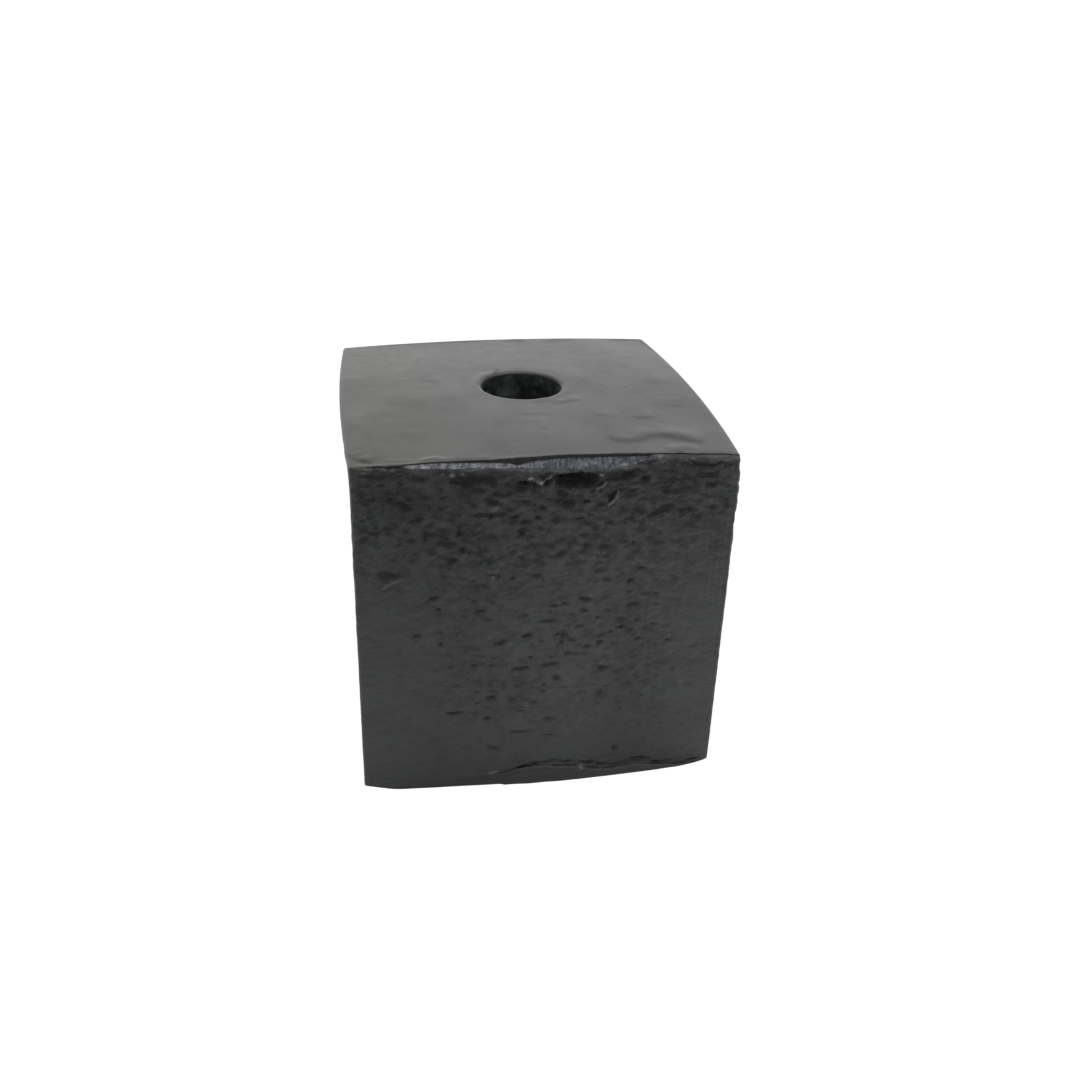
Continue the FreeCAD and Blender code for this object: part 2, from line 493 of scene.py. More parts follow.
middle = noise_node(grain, scaled.outputs[0], 900, 4)
broad = noise_node(grain, scaled.outputs[0], 130, 3)
mix = grain.nodes.new("ShaderNodeMath")
mix.operation = "MULTIPLY_ADD"
mix.inputs[1].default_value = 0.45
grain.links.new(fine.outputs["Fac"], mix.inputs[0])
grain.links.new(middle.outputs["Fac"], mix.inputs[2])
grain.links.new(mix.outputs[0], leave.inputs["Height"])
grain.links.new(middle.outputs["Fac"], leave.inputs["Mask"])
grain.links.new(broad.outputs["Fac"], leave.inputs["Blotch"])


def new_material(name, roughness):
    """A material with its Principled shader, ready for its own nodes."""
    material = bpy.data.materials.new(name)
    material.use_nodes = True
    shader = material.node_tree.nodes["Principled BSDF"]
    shader.inputs["Roughness"].default_value = roughness
    return material, material.node_tree, shader


def ramp(tree, source, low, high, first, last):
    """A colour between two, as the source goes from low to high."""
    node = tree.nodes.new("ShaderNodeValToRGB")
    for end, position, colour in zip(node.color_ramp.elements, (low, high), (first, last)):
        end.position = position
        end.color = (*colour, 1)
    tree.links.new(source, node.inputs["Fac"])
    return node.outputs["Color"]


def bump(tree, source, strength, distance, under=None):
    """Relief from a height, over the relief of another bump if one is given."""
    node = tree.nodes.new("ShaderNodeBump")
    node.inputs["Strength"].default_value = strength
    node.inputs["Distance"].default_value = distance
    tree.links.new(source, node.inputs["Height"])
    if under is not None:
        tree.links.new(under.outputs["Normal"], node.inputs["Normal"])
    return node


def attribute(tree, name):
    """What give() stored under a name."""
    node = tree.nodes.new("ShaderNodeAttribute")
    node.attribute_name = name
    return node.outputs["Fac"]


def blend_colour(tree, amount, first, second):
    """From the first colour to the second, by an amount from nought to one."""
    node = tree.nodes.new("ShaderNodeMix")
    node.data_type = "RGBA"
    if isinstance(amount, float):
        node.inputs["Factor"].default_value = amount
    else:
        tree.links.new(amount, node.inputs["Factor"])
    tree.links.new(first, node.inputs["A"])
    if isinstance(second, tuple):
        node.inputs["B"].default_value = (*second, 1)
    else:
        tree.links.new(second, node.inputs["B"])
    return node.outputs["Result"]


charcoal, tree, shader = new_material("broken charcoal", 0.5)
speck = tree.nodes.new("ShaderNodeGroup")
speck.node_tree = grain
coordinates = tree.nodes.new("ShaderNodeTexCoord")
# Splinters run aslant across the break, so the pattern is drawn out that way.
squeeze = tree.nodes.new("ShaderNodeMapping")
squeeze.inputs["Scale"].default_value = (1.0, 0.35, 0.35)
squeeze.inputs["Rotation"].default_value = (0, math.radians(24), 0)
tree.links.new(coordinates.outputs["Object"], squeeze.inputs["Vector"])
splinter = tree.nodes.new("ShaderNodeTexVoronoi")
splinter.inputs["Scale"].default_value = 2400
tree.links.new(squeeze.outputs[0], splinter.inputs["Vector"])
streak = noise_node(tree, squeeze.outputs[0], 2500, 6, 0.72)
# The bare charcoal is paler at the left of the break and blue-grey from the middle on.
to_right = spread(tree, axes(tree, "Object")["X"], -0.007, -0.0005, 0.0, 1.0)
pale_end = ramp(tree, streak.outputs["Fac"], 0.38, 0.62, (0.112, 0.118, 0.131), (0.42, 0.43, 0.46))
blue_end = ramp(tree, streak.outputs["Fac"], 0.44, 0.66, (0.038, 0.044, 0.052), (0.158, 0.177, 0.204))
bare_colour = blend_colour(tree, to_right, pale_end, blue_end)
soot = ramp(tree, speck.outputs["Blotch"], 0.45, 0.60, (0.020, 0.022, 0.022), (0.120, 0.140, 0.134))
colour = blend_colour(tree, attribute(tree, "broken"), soot, bare_colour)
tree.links.new(colour, shader.inputs["Base Color"])
shine = spread(tree, splinter.outputs["Color"], 0.1, 0.9, 0.24, 0.7)
tree.links.new(shine, shader.inputs["Roughness"])
rough = bump(tree, speck.outputs["Height"], 0.5, 0.00008)
facets = bump(tree, splinter.outputs["Distance"], 0.5, 0.00012, rough)
tree.links.new(facets.outputs["Normal"], shader.inputs["Normal"])
core.data.materials.append(charcoal)
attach(core, "root")
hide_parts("core")

# ---------------------------------------------------------------- side skin
# The black film round the four sides, brushed on wet and dried matt, with the pits and folds
# of the pressed charcoal printed through it. It is one film, made here in a front sheet that
# turns both front corners, a back sheet that turns both back corners, and the two between.


def nick(x, z, cx, cz, half_long, half_high, depth, skew=0.35, tilt=0.0, taper=0.0):
    """A pit in the face, deepest towards its upper edge when skew is above nought, and the
    low burr pushed up along its lower edge."""
    c, s = math.cos(math.radians(tilt)), math.sin(math.radians(tilt))
    u = ((x - cx) * c + (z - cz) * s) / half_long
    w = ((z - cz) * c - (x - cx) * s) / (half_high * np.clip(1 - taper * (u + 1) / 2, 0.1, 1))
    burr = 0.5 * depth * np.exp(-(((w + 1.3) / 0.4) ** 2)) * np.clip(1 - u * u, 0, 1)
    w = np.where(w > skew, (w - skew) / (1 - skew), (w - skew) / (1 + skew))
    return depth * np.clip(1 - u * u - w * w, 0, 1) ** 1.1, burr


# Nicks of the front: across, up, half length, half height, depth, skew, tilt, and a taper for
# the large one that narrows to the right.
front_nicks = [
    (7.6, 37.6, 1.4, 0.45, 0.26, 0.4, 8), (1.7, 36.7, 1.45, 0.45, 0.22, 0.4, 18),
    (4.6, 37.2, 0.7, 0.3, 0.16, 0.4, 0), (5.0, 39.5, 1.2, 0.32, 0.15, 0.4, 6),
    (-12.6, 36.6, 0.95, 0.35, 0.24, 0.4, 8), (-20.7, 34.9, 1.9, 1.15, 0.30, 0.25, -8, 0.85),
    (-20.6, 33.4, 1.5, 0.35, 0.10, -0.3, 24), (-7.2, 35.1, 1.0, 0.25, 0.16, 0.4, 0),
    (-7.3, 44.75, 0.85, 0.4, 0.26, 0.4, -3), (-1.3, 33.9, 1.0, 0.32, 0.22, 0.4, 5),
    (-4.5, 33.8, 0.55, 0.24, 0.14, 0.3, 0), (6.9, 34.2, 1.3, 0.24, 0.14, 0.3, 0),
    (8.3, 32.7, 0.65, 0.3, 0.16, 0.3, 0), (11.3, 32.2, 0.58, 0.33, 0.26, 0.3, 0),
    (12.8, 34.1, 1.1, 0.25, 0.15, 0.3, -4), (13.3, 30.1, 0.95, 0.34, 0.16, 0.3, 0),
    (5.5, 29.8, 1.2, 0.4, 0.26, 0.3, -12), (2.4, 29.4, 0.55, 0.3, 0.2, 0.3, 0),
    (0.8, 29.2, 0.75, 0.26, 0.18, 0.3, 10), (-15.0, 31.2, 1.05, 0.36, 0.2, 0.3, 6),
    (-14.4, 29.5, 0.6, 0.26, 0.2, 0.3, 0), (-8.5, 28.9, 1.1, 0.36, 0.24, 0.3, 14),
    (12.0, 28.6, 1.05, 0.36, 0.24, 0.3, 14), (8.6, 27.8, 1.1, 0.3, 0.16, 0.3, 0),
    (10.4, 26.4, 0.95, 0.4, 0.25, 0.3, 10), (10.5, 25.2, 0.85, 0.28, 0.2, 0.3, 6),
    (0.2, 26.8, 2.3, 0.26, 0.2, 0.3, 0), (4.5, 25.7, 0.85, 0.34, 0.18, 0.3, 0),
    (2.7, 24.4, 0.56, 0.38, 0.22, 0.3, 0), (2.4, 23.2, 0.56, 0.3, 0.22, 0.3, 0),
    (3.8, 23.5, 0.75, 0.26, 0.16, 0.3, 0), (6.0, 22.3, 0.95, 0.26, 0.2, 0.3, 0),
    (7.8, 22.8, 0.58, 0.32, 0.26, 0.3, 0), (-2.5, 24.6, 1.0, 0.38, 0.28, 0.3, 5),
    (-5.8, 23.8, 0.95, 0.38, 0.28, 0.3, 14), (-17.4, 25.7, 0.75, 0.32, 0.22, 0.3, 4),
    (-14.6, 26.2, 0.7, 0.28, 0.16, 0.3, 0), (-14.0, 24.2, 0.45, 0.3, 0.18, 0.3, 0),
    (-9.5, 20.5, 0.65, 0.24, 0.18, 0.3, 0), (-3.1, 19.4, 1.7, 0.36, 0.24, 0.3, 2),
    (0.8, 19.6, 1.7, 0.32, 0.24, 0.3, 2), (3.4, 21.3, 0.66, 0.4, 0.2, 0.3, 0),
    (-1.8, 21.2, 0.56, 0.26, 0.18, 0.3, 0), (8.2, 18.6, 0.72, 0.42, 0.36, 0.3, -4),
    (1.9, 17.4, 0.6, 0.5, 0.26, 0.3, 0), (0.2, 16.4, 0.58, 0.4, 0.2, 0.3, 0),
    (-2.6, 17.1, 0.75, 0.22, 0.15, 0.3, 0), (-3.8, 16.6, 0.56, 0.27, 0.15, 0.3, 0),
    (-11.7, 17.3, 0.75, 0.27, 0.14, 0.3, 0), (8.2, 14.3, 0.85, 0.85, 0.26, 0.3, 0),
    (-7.3, 14.9, 0.85, 0.36, 0.26, 0.3, 0), (-4.4, 14.3, 1.15, 0.4, 0.18, 0.3, -6),
    (-1.2, 13.7, 0.86, 0.32, 0.2, 0.3, 0), (-2.9, 12.4, 0.95, 0.23, 0.14, 0.3, 0),
    (-12.3, 12.8, 1.5, 0.28, 0.26, 0.3, 0), (-7.7, 11.5, 0.75, 0.4, 0.26, 0.3, 4),
    (1.0, 10.6, 1.15, 0.45, 0.24, 0.3, -3), (-2.8, 8.8, 2.4, 0.28, 0.16, 0.2, 0),
    (1.1, 7.9, 2.0, 0.33, 0.16, 0.2, 0), (-6.6, 6.3, 1.6, 0.34, 0.16, -0.3, -22),
    (11.0, 4.4, 0.6, 0.6, 0.22, 0.3, 0), (17.4, 22.4, 0.9, 0.24, 0.14, 0.3, 0),
    (13.3, 23.0, 0.8, 0.24, 0.14, 0.3, 0), (11.0, 12.6, 0.6, 0.25, 0.14, 0.3, 0),
    (-2.4, 2.45, 1.0, 0.4, 0.3, 0.3, 0), (-0.5, 2.85, 0.8, 0.3, 0.26, 0.3, 10),
    (1.2, 3.15, 1.4, 0.36, 0.26, 0.3, 4), (4.2, 2.75, 1.3, 0.3, 0.2, 0.3, 0),
    (7.1, 2.3, 1.4, 0.34, 0.3, 0.3, -6), (9.0, 1.75, 0.9, 0.28, 0.26, 0.3, -10),
    (14.6, 1.9, 1.6, 0.6, 0.32, 0.3, -8), (17.6, 1.0, 1.6, 0.32, 0.26, 0.3, -8),
    (22.6, 0.75, 1.3, 0.25, 0.2, 0.3, 6), (11.6, 1.45, 1.2, 0.25, 0.2, 0.3, 4),
    (-22.4, 46.0, 0.6, 0.4, 0.16, -0.3, 40), (-18.5, 44.6, 1.3, 0.6, 0.2, 0.2, -40),
    (0.8, 41.8, 1.05, 0.4, 0.16, 0.3, 0), (-1.1, 40.8, 0.8, 0.4, 0.16, 0.3, 0),
    (2.4, 44.1, 1.4, 0.75, 0.3, 0.35, 6), (14.9, 42.5, 1.7, 0.6, 0.36, 0.3, 24),
    (8.25, 45.0, 1.25, 0.5, 0.36, -0.45, 60), (6.3, 46.6, 1.5, 0.4, 0.24, -0.5, 38),
    (19.2, 42.6, 0.9, 0.35, 0.14, -0.2, 10), (12.3, 47.1, 0.7, 0.6, 0.26, 0.3, 0),
    (-8.5, 48.1, 1.1, 0.35, 0.3, 0.3, -8), (-10.2, 47.4, 1.5, 1.0, 0.26, 0.4, 0),
    (-21.5, 48.6, 1.4, 0.35, 0.10, 0.4, 6), (-16.5, 48.3, 2.4, 0.45, 0.14, 0.4, -6),
    (-12.0, 47.9, 0.9, 0.5, 0.24, -0.3, 0), (-1.9, 47.2, 1.1, 0.55, 0.3, -0.5, -38),
    (-0.4, 47.3, 1.1, 0.5, 0.3, -0.5, 42), (-4.0, 46.4, 1.3, 0.7, 0.22, 0.3, 0),
    (9.6, 47.7, 2.0, 0.7, 0.34, 0.35, 4), (15.5, 46.9, 1.4, 0.4, 0.16, 0.3, 0),
    (16.6, 45.2, 2.0, 0.35, 0.15, 0.3, 0), (20.4, 47.6, 2.6, 0.4, 0.2, 0.3, -4),
    (21.5, 46.2, 1.8, 0.35, 0.14, 0.3, 3), (18.5, 40.3, 1.6, 0.3, 0.12, 0.3, 12),
]
# Fine dashes between them, thickest right of the middle and about two thirds of the way up.
DASH_TRIES, DASH_REACH = 300, 19
dash_dice = np.random.default_rng(83)
for _ in range(DASH_TRIES):
    dash_x, dash_z = dash_dice.normal(2.0, 8.5), dash_dice.uniform(8, 47)
    if abs(dash_x) > DASH_REACH:
        continue
    if dash_dice.uniform() > 0.25 + 0.75 * math.exp(-(((dash_z - 31) / 12) ** 2)):
        continue
    front_nicks.append((
        dash_x, dash_z, dash_dice.uniform(0.3, 0.85), dash_dice.uniform(0.13, 0.22),
        dash_dice.uniform(0.05, 0.16), 0.3, dash_dice.normal(4, 9),
    ))
# Deep hollows right under the broken edge, where the film is gone: across, up, half length,
# half height, depth, skew, tilt.
front_hollows = [
    (3.1, 47.45, 2.8, 1.15, 1.4, 0.35, -3), (1.2, 47.7, 1.3, 0.8, 0.7, 0.2, 0),
    (5.3, 47.2, 1.4, 1.1, 1.2, 0.2, 0), (9.0, 47.7, 1.6, 0.6, 0.45, 0.3, 4),
    (-3.6, 47.0, 1.0, 0.5, 0.36, 0.3, 0), (-8.3, 48.1, 1.4, 0.42, 0.5, 0.3, -6),
    (12.2, 47.2, 0.9, 0.5, 0.3, 0.3, 20), (-0.9, 47.9, 0.9, 0.5, 0.5, -0.4, 0),
]
# Pale lines where a chip's edge stands proud or a pit's lower lip faces up. They are partly bare rubbed
# film and partly painted highlight where the light catches them. Columns: the line, its half width, its
# paleness.
rub_and_highlight_lines = [
    ([(-2.52, 47.72), (-2.42, 47.62)], 0.22, 1.0),
    ([(-2.2, 47.45), (-1.7, 47.18), (-1.3, 47.04), (-0.75, 47.3), (-0.2, 47.7), (0.0, 48.1)],
     0.16, 0.8),
    ([(-1.4, 47.62), (-0.9, 47.8)], 0.2, 0.3),
    ([(-12.6, 48.8), (-12.35, 48.68)], 0.2, 1.0),
    ([(-11.3, 48.85), (-11.2, 48.85)], 0.12, 0.5),
    ([(-13.6, 48.95), (-13.5, 48.95)], 0.1, 0.3),
    ([(-6.6, 47.62), (-6.5, 47.66)], 0.14, 0.35),
    ([(-5.5, 47.95), (-5.1, 48.0)], 0.1, 0.2),
    ([(3.4, 48.35), (3.8, 48.3)], 0.12, 0.4),
    ([(6.4, 48.0), (6.65, 47.92)], 0.15, 0.8),
    ([(7.2, 46.95), (6.9, 46.4), (6.4, 46.12), (6.0, 46.0)], 0.1, 0.4),
    ([(5.4, 46.95), (5.8, 47.0)], 0.16, 0.12),
    ([(2.95, 46.3), (3.05, 46.1)], 0.12, 0.2),
    ([(8.95, 45.5), (8.85, 45.05), (8.62, 44.5), (8.22, 44.0), (7.85, 43.7)], 0.12, 0.5),
    ([(9.7, 48.4), (9.8, 48.4)], 0.1, 0.25),
    ([(-23.25, 49.5), (-23.15, 49.48)], 0.12, 0.5),
    ([(-22.5, 46.2), (-22.3, 45.8)], 0.1, 0.2),
    ([(-7.75, 44.05), (-6.65, 44.0)], 0.14, 0.2),
    ([(-7.6, 43.8), (-6.8, 43.75)], 0.15, 0.24),
    ([(-7.45, 43.5), (-7.0, 43.5)], 0.14, 0.25),
    ([(-7.2, 43.2), (-7.1, 43.0)], 0.12, 0.2),
    ([(-7.85, 34.9), (-6.5, 34.9)], 0.18, 0.2),
    ([(-7.6, 34.55), (-6.75, 34.5)], 0.18, 0.21),
    ([(-7.3, 34.15), (-7.05, 34.05)], 0.16, 0.2),
    ([(14.1, 49.85), (14.3, 49.8)], 0.14, 0.35),
    ([(17.1, 49.7), (17.2, 49.68)], 0.12, 0.2),
    ([(18.5, 49.6), (18.6, 49.6)], 0.12, 0.2),
    ([(-21.4, 33.1), (-20.4, 33.8), (-19.4, 34.3)], 0.14, 0.2),
    ([(-20.0, 35.5), (-19.3, 34.9), (-18.8, 34.1)], 0.09, 0.14),
    ([(14.4, 41.75), (15.4, 42.15), (16.3, 41.95)], 0.12, 0.16),
    ([(19.0, 42.6), (19.8, 42.8)], 0.12, 0.08),
    ([(1.6, 43.2), (2.8, 43.15), (3.4, 43.4)], 0.12, 0.1),
    ([(-7.1, 1.85), (-6.3, 2.0)], 0.24, 0.22),
    ([(5.8, 2.05), (6.25, 1.95)], 0.2, 0.26),
    ([(20.1, 15.1), (20.15, 15.1)], 0.11, 0.2),
]
# Dark patches over the hollows and creases: painted shade where the recesses fall into shadow, partly
# loose dust. Columns: middle, half sizes, darkness.
dust_and_shade_patches = [
    (3.1, 47.4, 3.3, 1.5, 0.6), (9.2, 47.7, 2.8, 1.1, 0.5), (17.6, 49.5, 4.6, 1.1, 0.5),
    (22.8, 49.4, 3.0, 0.9, 0.35), (-8.6, 47.9, 2.2, 0.9, 0.5), (-3.7, 47.0, 1.6, 0.9, 0.5),
    (12.3, 47.2, 1.2, 0.8, 0.35), (-18.0, 45.2, 6.0, 3.0, 0.22), (-10.5, 46.6, 2.5, 1.5, 0.35),
    (1.8, 44.6, 2.6, 1.1, 0.3), (15.0, 42.6, 1.4, 0.6, 0.3), (-20.1, 34.9, 1.1, 0.4, 0.5),
    (-21.6, 35.4, 0.8, 0.35, 0.45), (-10.2, 47.9, 2.0, 0.8, 0.62), (19.5, 48.2, 3.5, 0.9, 0.2),
    (8.2, 18.7, 0.8, 0.4, 0.5),
]


def seam_height(x):
    """Where the film that folds over the edge on the right leaves a second ragged line."""
    return top_z(x, front_y) - 0.88 + 0.25 * wave(x, 1.1, 42)


def front_relief(x, z):
    """How far the front stands out from its plane, in millimetres."""
    wx = x + 0.16 * value_noise(x, z, 0.9, 31) + 0.35 * value_noise(x, z, 4.0, 33)
    wz = z + 0.10 * value_noise(x, z, 0.7, 32) + 0.15 * value_noise(x, z, 4.0, 34)
    sunk, raised = np.zeros_like(x), np.zeros_like(x)
    for row in front_nicks:
        pit, burr = nick(wx, wz, *row)
        sunk, raised = np.maximum(sunk, pit * 1.45), np.maximum(raised, burr * 1.5)
    for row in front_hollows:
        sunk = np.maximum(sunk, nick(wx, wz, *row)[0])
    # Dark broken line where the lip of the base sheet was squeezed up against the front.
    line_z = 0.25 + lip_height(x) + 0.3 * wave(x, 1.3, 41)
    patchy = np.clip(0.3 + 0.9 * wave(x, 1.1, 44), 0, 1)
    crack = 0.16 * patchy * np.exp(-(((z - line_z) / 0.3) ** 2))
    crack = crack * smooth_step(-4.5, -2.2, x) * smooth_step(23, 19, x)
    seam = 0.26 * np.exp(-(((z - seam_height(x)) / 0.16) ** 2)) * smooth_step(17.0, 18.8, x)
    # The film is creased under the left end of the edge.
    crease_z = top_z(x, front_y) - 1.35 + 0.1 * wave(x, 1.0, 45)
    crease = 0.18 * np.exp(-(((z - crease_z) / 0.2) ** 2))
    crease = crease * smooth_step(-24.2, -23, x) * smooth_step(-18.6, -20, x)
    sunk = sunk + crack + seam + crease
    folds = 0.5 * value_noise(x, z * 1.6, 2.1, 35) + 0.36 * value_noise(x, z * 1.4, 0.95, 36)
    folds += 0.8 * value_noise(x + 40, z * 1.3, 5.0, 37)
    ribs = 0.03 * np.sin(x * 7.5 + 1.5 * value_noise(x, z, 3, 43))
    ribs = ribs * smooth_step(20.5, 22.5, x) * smooth_step(20, 34, z)
    rough = crumpled(x, z)
    fine = value_noise(x, z * 1.5, 0.95, 38) + 0.4 * value_noise(x, z * 1.3, 0.65, 39)
    crumbs = np.maximum(value_noise(wx, wz * 1.8, 1.2, 46) - 0.12, 0)
    crumbs = crumbs + np.maximum(value_noise(wx, wz * 1.5, 0.9, 47) - 0.15, 0)
    stand_out = folds * (0.03 + 0.13 * rough) + fine * (0.007 + 0.085 * rough) + raised + ribs - sunk
    stand_out = stand_out - 0.3 * rough * crumbs
    # It may sink only as far as the core behind it leaves room.
    below_edge = top_z(x, front_y) - drop(x) - 0.3 - z
    room = 0.33 - 0.15 * smooth_step(3.2, 0.0, below_edge) + hollow_room(x, z)
    return np.maximum(stand_out, -room)


def crumpled(x, z):
    """How crumpled the front's film is: most under the top edge, least at the lower left."""
    upper = smooth_step(31, 45, z)
    middle = smooth_step(-19, -8, x) * smooth_step(23, 12, x) * smooth_step(6, 16, z)
    left = smooth_step(24, 34, z) * smooth_step(2, -10, x)
    at_corners = smooth_step(23.6, 24.6, np.abs(x))
    return np.clip(0.12 + 0.75 * upper + 0.38 * middle + 0.25 * left, 0, 1) * (1 - 0.5 * at_corners)


def lip_height(x):
    """How far up the front the base sheet's lip reaches."""
    at = [-18, -14, -11, -8, -6, -4, -1, 2, 5, 8, 10, 14, 16.5, 20, 23.4]
    up = [0.0, 0.5, 0.8, 1.2, 1.75, 2.2, 2.5, 2.5, 2.1, 1.4, 1.1, 1.3, 0.9, 0.45, 0.0]
    return np.interp(x, at, up)


def from_segment(x, z, start, end):
    """Where along a segment each point lies, from nought to one between its ends, and how
    far from the segment it is."""
    (ax, az), (bx, bz) = start, end
    dx, dz = bx - ax, bz - az
    free = ((x - ax) * dx + (z - az) * dz) / (dx * dx + dz * dz)
    t = np.clip(free, 0, 1)
    return free, np.hypot(x - ax - t * dx, z - az - t * dz)


def near_lines(x, z, lines):
    """The strongest mark, from nought to one, that any of the lines leaves at each point."""
    mark = np.zeros_like(x)
    ragged = 1 + 0.5 * value_noise(x, z, 0.35, 51)
    for line, half_width, strength in lines:
        for start, end in zip(line, line[1:]):
            gap = from_segment(x, z, start, end)[1] / (half_width * ragged)
            mark = np.maximum(mark, strength * np.clip(1.6 - gap, 0, 1))
    return mark


def skin_sheet(name, run, outs, rise_steps, is_front):
    """A closed sheet of the side skin over one run of the outline: up the outside, over its
    top edge, down the inside and closed underneath."""
    px, py = run[:, 0], run[:, 1]
    ahead = smooth_step(front_y + 1.6, front_y + 0.5, py) * is_front
    wrapped = along_edge(px, wrap_at) * ahead
    brim = top_z(px, py)
    lower = SKIN + 0.01
    upper = brim - SKIN - 0.01
    broken_off = brim - drop(px) * ahead - SKIN * (1 - ahead) - 0.01
    upper = np.where(is_front & (ahead > 0), broken_off, upper)
    shoulder = upper - (0.3 + (0.2 + 0.45 * along_edge(px, bead_at)) * ahead)
    crest = upper + (brim - 0.08 - upper) * wrapped
    slope = along_edge(px, slope_at) * ahead * (1 - wrapped)
    reach_back = np.maximum(front_y + set_back(px) - 0.03 - py, 0) * wrapped
    bead = 0.42 * along_edge(px, bead_at) * ahead
    along = np.concatenate([[0], np.cumsum(np.linalg.norm(np.diff(run, axis=0), axis=1))])
    kept_flush = smooth_step(0.3, 2.4, np.minimum(along, along[-1] - along))
    rows, outwards, allow = [], [], []

    def relief_at(z):
        return front_relief(px, z) * ahead if is_front else np.zeros_like(z)

    def add_row(inwards, z, free_amount, back=0.0):
        rows.append([px - outs[:, 0] * inwards, py - outs[:, 1] * inwards + back, z])
        allow.append(free_amount * kept_flush)
        outwards.append(outs)

    if is_front:
        upper_steps = 62
        shares = np.concatenate([
            np.linspace(0, 0.86, rise_steps - upper_steps), np.linspace(0.86, 1, upper_steps + 1)[1:],
        ])
    else:
        shares = np.linspace(0, 1, rise_steps + 1)
    for share in shares:
        z = lower + (shoulder - lower) * share
        lift = relief_at(z) * smooth_step(-26.0, -24.6, px)
        quiet = smooth_step(0.0, 0.35, z - lower + 0.05)
        add_row(-lift, z, quiet)
    steps = 11 if is_front else 4
    for step in range(1, steps + 1):
        turn = step / steps * math.pi / 2
        z = shoulder + (crest - shoulder) * math.sin(turn)
        lift = relief_at(z) * (1 - step / steps) ** 0.7
        lift = lift + bead * math.sin(step / steps * math.pi)
        curl = 1 - math.cos(turn)
        add_row(slope * curl - lift, z, 0.6 * (1 - step / steps), reach_back * curl)
    for step in range(steps - 1, 0, -2):
        turn = step / steps * math.pi / 2
        z = shoulder + (crest - shoulder) * math.sin(turn) - 0.02 - 0.28 * wrapped
        inner = (SKIN + hollow_room(px, z) * ahead) * (1 - wrapped) + 0.36 * wrapped
        add_row(np.maximum(inner, slope + 0.05), z, 0.0, reach_back * (1 - math.cos(turn)))
    for share in np.linspace(1, 0, 18):
        z = lower + (shoulder - lower) * share
        add_row(SKIN + hollow_room(px, z) * ahead, z, 0.0)
    outside, inside_deeper = len(shares) + steps, 0.25
    points = np.array([
        np.stack(settle(x, y, z, 0.0 if number < outside else inside_deeper), axis=-1)
        for number, (x, y, z) in enumerate(rows)
    ])
    count, columns = points.shape[:2]
    first = [r * columns for r in range(count)]
    last = [r * columns + columns - 1 for r in range(count)]
    sheet = make_piece(name, points, False, True, [first[::-1], last])
    give(sheet.data, "allow", np.array(allow))
    full = np.zeros((count, columns, 3))
    full[:, :, :2] = np.array(outwards)
    give(sheet.data, "outward", full, "FLOAT_VECTOR")
    x, y, z = points[:, :, 0].ravel(), points[:, :, 1].ravel(), points[:, :, 2].ravel()
    rubbed_and_highlit, dust_and_shade, rough = np.zeros_like(x), np.zeros_like(x), np.full_like(x, 0.45)
    if is_front:
        rough = crumpled(x, z)
        facing = (y < front_y + 2.2) * (np.abs(x) < 24.8)
        # Pale marks: partly rubbed bare film, partly painted highlights on edges and pit lips that face
        # the light.
        rubbed_and_highlit = near_lines(x, z, rub_and_highlight_lines) * facing
        # Dark patches over the hollows: painted shade, partly dust.
        for cx, cz, half_long, half_high, dark in dust_and_shade_patches:
            away = np.hypot((x - cx) / half_long, (z - cz) / half_high)
            away = away + 0.3 * value_noise(x, z, 0.9, 52)
            dust_and_shade = np.maximum(dust_and_shade, dark * smooth_step(1.1, 0.5, away))
        # Pits are painted darker by their depth: painted shade in the recesses, partly dust.
        deep = np.zeros_like(x)
        for row in front_nicks:
            deep = np.maximum(deep, nick(x, z, *row)[0])
        dust_and_shade = np.maximum(dust_and_shade, 0.42 * smooth_step(0.04, 0.2, deep))
        # Slanting mottles, darker and paler: painted shade and painted light of the crumpled film,
        # partly dust. Over the middle and right lies a faint painted sheen.
        mottled = 0.7 * value_noise(x + 0.4 * z, z * 1.7, 1.1, 53)
        mottled = mottled + 0.6 * value_noise(x - 0.3 * z, z * 1.8, 0.6, 54)
        dust_and_shade = np.maximum(dust_and_shade, np.clip(mottled, 0, 0.8) * rough * 0.72)
        painted_sheen = 0.012 + 0.055 * np.exp(-(((x - 1) / 12) ** 2) - ((z - 20) / 16) ** 2)
        painted_sheen += 0.034 * np.exp(-(((x - 9) / 14) ** 2) - ((z - 38) / 9) ** 2)
        painted_sheen *= 1 - 0.7 * smooth_step(6, 18, x) * smooth_step(22, 10, z)
        painted_sheen = painted_sheen + 0.07 * rough * np.clip(-mottled - 0.1, 0, 0.8)
        rubbed_and_highlit = np.maximum(rubbed_and_highlit, painted_sheen * facing)
        # The line of the fold's seam is painted dark: painted shade in the crease.
        seam = 0.4 * np.exp(-(((z - seam_height(x)) / 0.2) ** 2)) * smooth_step(17.0, 18.8, x)
        dust_and_shade = np.maximum(dust_and_shade, seam) * facing
    give(sheet.data, "rubbed_and_highlit", rubbed_and_highlit)
    give(sheet.data, "dust_and_shade", dust_and_shade)
    give(sheet.data, "crumpled", rough)
    return sheet


